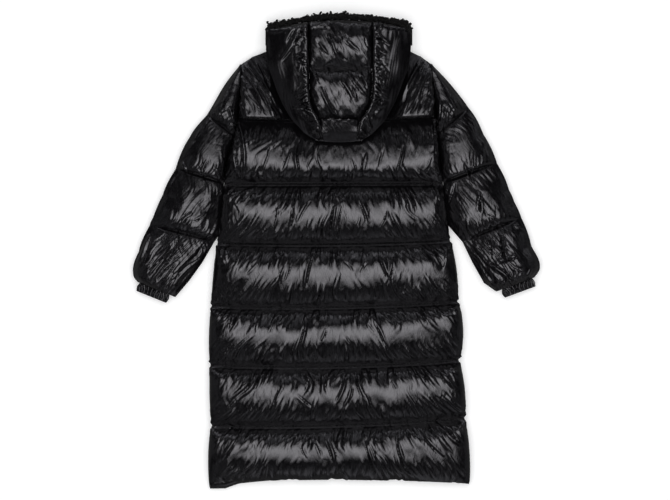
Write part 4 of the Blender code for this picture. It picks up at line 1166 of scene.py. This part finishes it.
CURL_SPACING = 6.2
CURL_INSET = 5.5
LINING_INSET = 3.0
CURL_TUBE = 1.9
CURL_RINGS = 9
TUBE_SIDES = 5          # the curls and the stitches are tubes with this many sides
CURL_LEVELS = (26.0, 72.0)      # heights between which the curls stand on the lining's edge
CURL_DEPTHS = (12.0, 34.0)      # and how far in from it they stand on its top
CURL_SCATTER = 2.4


def make_lining(name, node, level, far_level, inset, up, material):
    """One of the two layers inside the face opening, from its level up or down to the other one."""
    foot = NECK_SEAM_Y + 2 * SEAM_GAP
    (left_x, _), (right_x, _) = SHEARLING_EDGE[0], SHEARLING_EDGE[-1]
    full = abs(far_level - level)
    edge_line = [(px, py - inset - LINING_INSET) for px, py in SHEARLING_EDGE]
    free = [(left_x, foot)] + edge_line + [(right_x, foot)]
    x_line = left_x + row_spread([right_x - left_x], 90)[0]
    shares = np.concatenate([np.linspace(0, 0.9, 20), [0.94, 0.97, 0.99, 1.0]])
    x = np.tile(x_line, (len(shares), 1))
    y = foot + (along(edge_line, x) - foot) * shares[:, None]
    edge = to_path(x, y, free)[0]
    loft = np.maximum(EDGE_WALL, full * quarter_round(edge, LINING_ROUND))
    relief = -2.4 + 1.6 * bumps(x / 7.0, y / 7.0, 360) + 0.8 * bumps(x / 3.5, y / 3.5, 361)
    relief *= ease(edge / 3.0)
    piece = padded_form(name, x, y, loft, relief, level, material, up=up)
    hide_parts(node)


def tube_faces(rings, sides, turned=False):
    """The faces of a closed tube whose points run ring by ring, or the same faces turned over."""
    faces = []
    for start in range(0, (rings - 1) * sides, sides):
        for j in range(sides):
            k = (j + 1) % sides
            a, b, c, d = start + j, start + k, start + sides + k, start + sides + j
            faces.append((a, d, c, b) if turned else (a, b, c, d))
    first_end = tuple(range(sides))
    last_end = tuple((rings - 1) * sides + j for j in range(sides))
    return faces + ([first_end, last_end[::-1]] if turned else [first_end[::-1], last_end])


def curl_shape(turns, radius, lift, tuft):
    """Points of one curled lock: a short tube wound into a hook, from its root outwards."""
    t = np.linspace(0.0, 1.0, CURL_RINGS)
    angle = 2 * math.pi * turns * t
    own = radius * (0.45 + 0.55 * t)
    height = lift * np.sin(t * math.pi * 0.72)
    centre = np.stack([own * np.cos(angle) - own[0], own * np.sin(angle), height], -1)
    forward = np.gradient(centre, axis=0)
    forward /= np.linalg.norm(forward, axis=1, keepdims=True)
    side = np.cross(forward, [0.0, 0.0, 1.0])
    side /= np.maximum(np.linalg.norm(side, axis=1, keepdims=True), 1e-6)
    other = np.cross(side, forward)
    thick = CURL_TUBE * tuft * (1.15 - 0.6 * t ** 3)
    ring = (2 * math.pi * np.arange(TUBE_SIDES) / TUBE_SIDES)[None, :, None]
    round_it = np.cos(ring) * side[:, None, :] + np.sin(ring) * other[:, None, :]
    return (centre[:, None, :] + thick[:, None, None] * round_it).reshape(-1, 3)


def shearling_roots(rng):
    """Places on the lining's outer surface for the curls, with the way each one faces."""
    roots = []
    edge_points = np.array(SHEARLING_EDGE, float)
    lengths = np.hypot(*np.diff(edge_points, axis=0).T)
    run = np.concatenate([[0], np.cumsum(lengths)])

    def edge_at(place):
        """The point that far along the lining's edge."""
        return np.array([np.interp(place, run, edge_points[:, i]) for i in (0, 1)])

    for s in np.arange(0, run[-1], CURL_SPACING):
        ex, ey = edge_at(s)
        tangent = edge_at(s + 1) - edge_at(s - 1)
        tangent /= max(np.linalg.norm(tangent), 1e-6)
        out = np.array([-tangent[1], tangent[0]])
        for level in np.arange(*CURL_LEVELS, CURL_SPACING):
            above = level > LINING_SPLIT
            inset = LINING_STEP if above else 0.0
            far = (HOOD_LEVEL - level) if above else (level - CHIN_LEVEL)
            round_in = LINING_ROUND * (1 - math.sqrt(max(0.0, 1 - (1 - min(1, far / 20.0)) ** 2)))
            depth = CURL_INSET + inset + round_in
            tilt = (1 - min(1, far / 20.0)) * (1 if above else -1)
            roots.append((ex - out[0] * depth, ey - out[1] * depth, level, out[0], out[1], tilt))
        for depth in np.arange(*CURL_DEPTHS, CURL_SPACING):
            px, py = ex - out[0] * depth, ey - out[1] * depth
            if py > along(HOOD_EDGE, px) - 3.0 or not -182 < px < 192:
                roots.append((px, py, HOOD_LEVEL - 1.5, out[0] * 0.4, out[1] * 0.4, 1.4))
    roots = np.array(roots)
    roots[:, :3] += rng.uniform(-CURL_SCATTER, CURL_SCATTER, (len(roots), 3))
    return roots


def make_curls(material):
    """Curled locks over the lining, each with its own size, turn and way of facing."""
    rng = np.random.default_rng(41)
    curl_faces = tube_faces(CURL_RINGS, TUBE_SIDES)
    all_points, all_faces = [], []
    for number, (px, py, pz, nx, ny, nz) in enumerate(shearling_roots(rng)):
        facing = Vector((nx, ny, nz)) + Vector(rng.uniform(-0.45, 0.45, 3))
        tuft = 0.8 + 0.8 * rng.random() ** 3
        turns, radius = rng.uniform(0.6, 1.0), rng.uniform(2.0, 3.4)
        points = curl_shape(turns, radius, tuft * rng.uniform(3.0, 6.5), tuft)
        turn = facing.normalized().to_track_quat("Z", "Y").to_matrix()
        spin = rng.uniform(0, 2 * math.pi)
        c, s = math.cos(spin), math.sin(spin)
        points = points @ np.array([[c, s, 0], [-s, c, 0], [0, 0, 1]])
        all_points.append(points @ np.array(turn).T + np.array([px, py, pz]))
        first = number * CURL_RINGS * TUBE_SIDES
        all_faces += [tuple(first + i for i in face) for face in curl_faces]
    piece = mesh_piece("shearling_curls", np.concatenate(all_points), all_faces, material, 75.0)


# --- Stitching ----------------------------------------------------------------------------------------------


STITCH_STEP = 4.2       # from one stitch to the next
STITCH_LENGTH = 3.1
# Rings of a stitch: share of its length, height over the shell, and thickness
STITCH_RINGS = [(0.0, -0.5, 0.25), (0.25, 0.25, 0.45), (0.75, 0.25, 0.45), (1.0, -0.5, 0.25)]


def make_stitches(name, lines, material):
    """Sewing thread along stitch lines: short round stitches, each sunk at both ends."""
    shares, lifts, thicks = np.array(STITCH_RINGS).T
    stitch_faces = tube_faces(len(STITCH_RINGS), TUBE_SIDES, turned=True)
    points, faces = [], []
    for line in lines:
        run = np.concatenate([[0], np.cumsum(np.linalg.norm(np.diff(line, axis=0), axis=1))])
        for start in np.arange(1.0, run[-1] - 3.5, STITCH_STEP):
            at = start + STITCH_LENGTH * shares
            centre = np.stack([np.interp(at, run, line[:, i]) for i in range(3)], -1)
            centre[:, 2] += lifts
            forward = centre[-1] - centre[0]
            forward /= np.linalg.norm(forward)
            side = np.cross(forward, [0, 0, 1.0])
            side /= np.linalg.norm(side)
            other = np.cross(side, forward)
            faces += [tuple(len(points) + i for i in face) for face in stitch_faces]
            for middle, thick in zip(centre, thicks):
                for j in range(TUBE_SIDES):
                    angle = 2 * math.pi * j / TUBE_SIDES
                    points.append(middle + thick * (math.cos(angle) * side + math.sin(angle) * other))
    piece = mesh_piece(name, points, faces, material)


def back_stitch_lines():
    """The stitch lines across the back, at the shell's height, each in a left and a right half."""
    lines = []
    for name in STITCHED[1:]:
        row = BODY_ROWS[name][:5]
        x = np.linspace(row[0] + 12, row[3] - 12, 200)
        y = row_height(row, x)
        loft = np.full(x.shape, SEAM_LOFT)
        for side in SIDES:
            to_side = nearest_of(x, y, FREE_SIDES[side])
            loft = np.minimum(loft, SEAM_LOFT * quarter_round(to_side, SIDE_ROUND[side]))
        line = np.stack([x, y, FRONT_LEVEL + np.maximum(loft, EDGE_WALL) + 0.2], -1)
        hidden = inside(x, y, HOOD_OUTLINE)
        halves = [line[keep & ~hidden] for keep in (x < 0, x >= 0)]
        lines += [half for half in halves if len(half) > 3]
    return lines


# --- Finishes -----------------------------------------------------------------------------------------------


def add_node(tree, kind, inputs=(), **settings):
    """A shader node with its settings. Each input is given a value, or the output that feeds it."""
    made = tree.nodes.new(kind)
    for name, value in settings.items():
        setattr(made, name, value)
    for socket, value in dict(inputs).items():
        if isinstance(value, bpy.types.NodeSocket):
            tree.links.new(value, made.inputs[socket])
        else:
            made.inputs[socket].default_value = value
    return made


def maths(tree, operation, *values):
    """The result of a sum on values and outputs."""
    return add_node(tree, "ShaderNodeMath", enumerate(values), operation=operation).outputs[0]


def scaled(tree, value, low, high, from_low=0.0, from_high=1.0, interpolation="LINEAR"):
    """An output's value moved from one range into another."""
    ranges = {"Value": value, "From Min": from_low, "From Max": from_high, "To Min": low, "To Max": high}
    return add_node(tree, "ShaderNodeMapRange", ranges, interpolation_type=interpolation).outputs["Result"]


def folded_noise(tree, place, stretch, **look):
    """Noise folded over at its middle value, so that its valleys are sharp, on stretched places."""
    drawn = add_node(tree, "ShaderNodeMapping", {"Vector": place, "Scale": stretch}).outputs["Vector"]
    noise = add_node(tree, "ShaderNodeTexNoise", {"Vector": drawn, **look})
    return maths(tree, "ABSOLUTE", maths(tree, "SUBTRACT", noise.outputs["Fac"], 0.5))


# How often the fine and the broad streaks repeat in a metre, across the pull and along it
STREAKS = [(240.0, 62.0), (95.0, 26.0)]
BROAD_STREAKS = 2.2     # how much higher the broad ones are
CRINKLE_HEIGHT = 0.35
CRINKLE_STRETCH = (1.0, 0.45, 1.0)
MOTTLE_SIZE = 95.0


def crinkle_group():
    """Small crinkles of light nylon over soft filling, and the streaks that stitching pulls into it."""
    tree = bpy.data.node_groups.new("nylon crinkle", "ShaderNodeTree")
    for way, names in (("INPUT", ("Crinkle Size", "Streaks")), ("OUTPUT", ("Height", "Mottle"))):
        for name in names:
            tree.interface.new_socket(name, in_out=way, socket_type="NodeSocketFloat")
    given = add_node(tree, "NodeGroupInput").outputs
    place = add_node(tree, "ShaderNodeTexCoord").outputs
    crinkles = folded_noise(tree, place["Object"], CRINKLE_STRETCH, Scale=given["Crinkle Size"], Detail=3.0,
                            Roughness=0.6, Distortion=0.4)
    fine, broad = (folded_noise(tree, place["UV"], (across, on, 1.0), Scale=1.0, Detail=1.5, Distortion=0.8)
                   for across, on in STREAKS)
    streaks = maths(tree, "MULTIPLY_ADD", broad, BROAD_STREAKS, fine)
    small = maths(tree, "MULTIPLY", crinkles, CRINKLE_HEIGHT)
    height = maths(tree, "MULTIPLY_ADD", streaks, given["Streaks"], small)
    patches = add_node(tree, "ShaderNodeTexNoise", {"Vector": place["Object"], "Scale": MOTTLE_SIZE,
                                                    "Detail": 4.0})
    add_node(tree, "NodeGroupOutput", {"Height": height, "Mottle": patches.outputs["Fac"]})
    return tree


def new_finish(name, **looks):
    """A material, with its node tree and its shader set to those looks."""
    material = bpy.data.materials.new(name)
    material.use_nodes = True
    shader = material.node_tree.nodes["Principled BSDF"]
    for socket, value in looks.items():
        shader.inputs[socket.replace("_", " ")].default_value = value
    return material, material.node_tree, shader


def vary_finish(tree, shader, dark, light, patches, roughness, grain, height, strength, distance):
    """Let patches vary a finish's colour, let its grain vary the roughness, and raise it by a height."""
    tint = add_node(tree, "ShaderNodeMix", {"A": (*dark, 1.0), "B": (*light, 1.0), "Factor": patches},
                    data_type="RGBA")
    raised = add_node(tree, "ShaderNodeBump", {"Height": height, "Strength": strength,
                                               "Distance": distance})
    tree.links.new(tint.outputs["Result"], shader.inputs["Base Color"])
    tree.links.new(scaled(tree, grain, *roughness), shader.inputs["Roughness"])
    tree.links.new(raised.outputs["Normal"], shader.inputs["Normal"])


def nylon(name, crinkles, roughness, colour, bump, crinkle_size, streaks):
    """Thin shiny nylon, a little paler and duller in patches."""
    material, tree, shader = new_finish(name, IOR=1.5, Specular_Tint=(0.97, 0.95, 1.0, 1.0))
    group = add_node(tree, "ShaderNodeGroup", {"Crinkle Size": crinkle_size, "Streaks": streaks},
                     node_tree=crinkles)
    mottle = group.outputs["Mottle"]
    vary_finish(tree, shader, colour, [3.2 * part for part in colour], mottle,
                (roughness - 0.05, roughness + 0.07), mottle, group.outputs["Height"], bump, 0.0025)
    return material


def shearling_finish():
    """Matt, nearly black wool with fine fibres and browner locks."""
    material, tree, shader = new_finish("black curly shearling", Sheen_Weight=0.03, Sheen_Roughness=0.4,
                                        Specular_IOR_Level=0.15)
    place = add_node(tree, "ShaderNodeTexCoord").outputs["Object"]
    fine = add_node(tree, "ShaderNodeTexNoise", {"Vector": place, "Scale": 900.0, "Detail": 3.0})
    locks = add_node(tree, "ShaderNodeTexNoise", {"Vector": place, "Scale": 120.0}).outputs["Fac"]
    fibres = fine.outputs["Fac"]
    vary_finish(tree, shader, (0.0008, 0.0008, 0.0008), (0.004, 0.0034, 0.0036), locks, (0.6, 0.9), fibres,
                fibres, 0.8, 0.0006)
    return material


# --- Studio -------------------------------------------------------------------------------------------------

VIEW_WIDTH = 1.809      # what the camera takes in from side to side, in metres
CAMERA_HEIGHT = 6.0
SUBJECT_HEIGHT = 0.05
VIEW_CENTRE = (-0.004, 0.0014)


FLOOR_HALF = 12.0
FLOOR_DROP = 0.0005     # the floor lies this far below the coat


def make_floor():
    """A pale floor, which shows up darker in what the nylon reflects."""
    corners = [(-FLOOR_HALF, -FLOOR_HALF), (FLOOR_HALF, -FLOOR_HALF), (FLOOR_HALF, FLOOR_HALF),
               (-FLOOR_HALF, FLOOR_HALF)]
    data = bpy.data.meshes.new("floor")
    data.from_pydata([(x, y, -FLOOR_DROP) for x, y in corners], [], [(0, 1, 2, 3)])
    floor = bpy.data.objects.new("floor", data)
    bpy.context.scene.collection.objects.link(floor)
    material, tree, paper = new_finish(
        "pale studio floor", Base_Color=(0.82, 0.82, 0.82, 1.0), Roughness=0.9, Specular_IOR_Level=0.1,
        Emission_Color=(1.0, 1.0, 1.0, 1.0), Emission_Strength=0.3)
    glow = add_node(tree, "ShaderNodeEmission", {"Color": (0.16, 0.16, 0.16, 1.0)})
    rays = add_node(tree, "ShaderNodeLightPath")
    choose = add_node(tree, "ShaderNodeMixShader",
                      {"Fac": rays.outputs["Is Glossy Ray"], 1: paper.outputs[0], 2: glow.outputs[0]})
    tree.links.new(choose.outputs[0], tree.nodes["Material Output"].inputs["Surface"])
    data.materials.append(material)


def make_softbox(name, place, target, size, radiance):
    """A rectangular light that faces its target, as bright as its radiance whatever its size."""
    light = bpy.data.lights.new(name, "AREA")
    light.shape = "RECTANGLE"
    light.size, light.size_y = size
    light.energy = radiance * math.pi * size[0] * size[1]
    box = bpy.data.objects.new(name, light)
    box.location = place
    box.rotation_euler = (Vector(target) - Vector(place)).to_track_quat("-Z", "Y").to_euler()
    box.visible_camera = False
    bpy.context.scene.collection.objects.link(box)


# The overhead light is a soft one, brightest at its middle: half angle as seen from the coat, and radiance
SOFT_LIGHT = [(34.0, 0.8), (27.0, 1.2), (20.0, 1.3), (11.0, 1.5)]
LIGHT_HEIGHT = 4.0
LIGHT_STEP = 0.02       # each softbox hangs this much above the one before
WALLS_AT_FLOOR = 0.6    # brightness of the walls around, at the floor and overhead
WALLS_AT_CEILING = 0.10
SIDE_WALLS = 0.12       # the walls to the left and right keep this share of it
SURROUNDINGS = (0.03, 2.1)      # how much of it the dark and the light things along the walls give back
NEAR_AND_FAR_WALLS = (0.8, 1.8)     # the wall beyond the hem and the brighter one beyond the hood


def make_walls():
    """The walls around, which light the coat and show in what the nylon reflects."""
    world = bpy.data.worlds.new("studio walls")
    world.use_nodes = True
    tree = world.node_tree
    way = add_node(tree, "ShaderNodeTexCoord").outputs["Generated"]
    parts = add_node(tree, "ShaderNodeSeparateXYZ", {"Vector": way}).outputs
    things = add_node(tree, "ShaderNodeTexNoise", {"Vector": way, "Scale": 2.7, "Detail": 1.5})
    sideways = maths(tree, "MULTIPLY", parts["X"], parts["X"])
    strength = scaled(tree, parts["Z"], WALLS_AT_FLOOR, WALLS_AT_CEILING, 0.0, 0.75, "SMOOTHSTEP")
    for factor in (scaled(tree, sideways, 1.0, SIDE_WALLS),
                   scaled(tree, parts["Y"], *NEAR_AND_FAR_WALLS, -0.6, 0.6),
                   scaled(tree, things.outputs["Fac"], *SURROUNDINGS, 0.42, 0.58)):
        strength = maths(tree, "MULTIPLY", strength, factor)
    background = tree.nodes["Background"]
    background.inputs["Color"].default_value = (0.95, 0.96, 1.0, 1.0)
    tree.links.new(strength, background.inputs["Strength"])
    bpy.context.scene.world = world


def make_camera():
    """A camera straight above the coat."""
    camera = bpy.data.cameras.new("camera")
    camera.sensor_width = 36.0
    camera.lens = camera.sensor_width * (CAMERA_HEIGHT - SUBJECT_HEIGHT) / VIEW_WIDTH
    camera.clip_end = 50.0
    view = bpy.data.objects.new("camera", camera)
    view.location = (*VIEW_CENTRE, CAMERA_HEIGHT)
    bpy.context.scene.collection.objects.link(view)
    bpy.context.scene.camera = view
    bpy.context.scene.view_settings.view_transform = "Standard"


def make_studio():
    """The floor, the light overhead, the walls around and the camera."""
    make_floor()
    for number, (half_angle, radiance) in enumerate(SOFT_LIGHT):
        side = 2 * LIGHT_HEIGHT * math.tan(math.radians(half_angle))
        place = (0.0, 0.0, LIGHT_HEIGHT + LIGHT_STEP * number)
        make_softbox(f"overhead softbox {number + 1}", place, (0, 0, 0), (side, side), radiance)
    make_walls()
    make_camera()


# --- Making the coat ----------------------------------------------------------------------------------------


def make_coat():
    """Every piece of the coat, each in its finish."""
    crinkles = crinkle_group()
    shell = nylon("glossy black nylon", crinkles, 0.15, (0.0011, 0.001, 0.0012), 0.18, 170.0, 1.3)
    cuff_cloth = nylon("gathered black nylon", crinkles, 0.2, (0.0012, 0.0012, 0.0014), 0.3, 260.0, 0.0)
    thread = nylon("black sewing thread", crinkles, 0.45, (0.006, 0.006, 0.0065), 0.1, 600.0, 0.0)
    smooth_shell = nylon("smooth black nylon", crinkles, 0.16, (0.0011, 0.001, 0.0012), 0.16, 150.0, 0.3)
    shearling = shearling_finish()
    make_back("back_skirt", "hem", "seam_3", shell)
    make_back("back_body", "seam_3", "neck", shell)
    for side in ("left", "right"):
        make_sleeve_back(side, shell)
        make_sleeve_front(side, shell)
        make_cuff(side, cuff_cloth)
        make_front(side, shell)
    make_placket(shell)
    make_chin(shell)
    make_hood_under(shell)
    make_hood_panel("hood_side_left", "hood_left", 1, 2, HOOD_EDGE[0][0], -SEAM_GAP, smooth_shell, 400)
    make_hood_panel("hood_strip", "hood_centre", 2, 3, HOOD_ROWS[-1][2], 0.0, shell, 420)
    make_hood_panel("hood_side_right", "hood_right", 4, 3, HOOD_EDGE[-1][0], SEAM_GAP, smooth_shell, 440)
    make_lining("lining_over", "hood_lining_back", LINING_SPLIT + LAYER_GAP, HOOD_LEVEL, LINING_STEP, True,
                shearling)
    make_lining("lining_under", "hood_lining_front", LINING_SPLIT, CHIN_LEVEL + LAYER_GAP, 0.0, False,
                shearling)
    make_curls(shearling)
    make_stitches("back_stitching", back_stitch_lines(), thread)


make_studio()
make_coat()
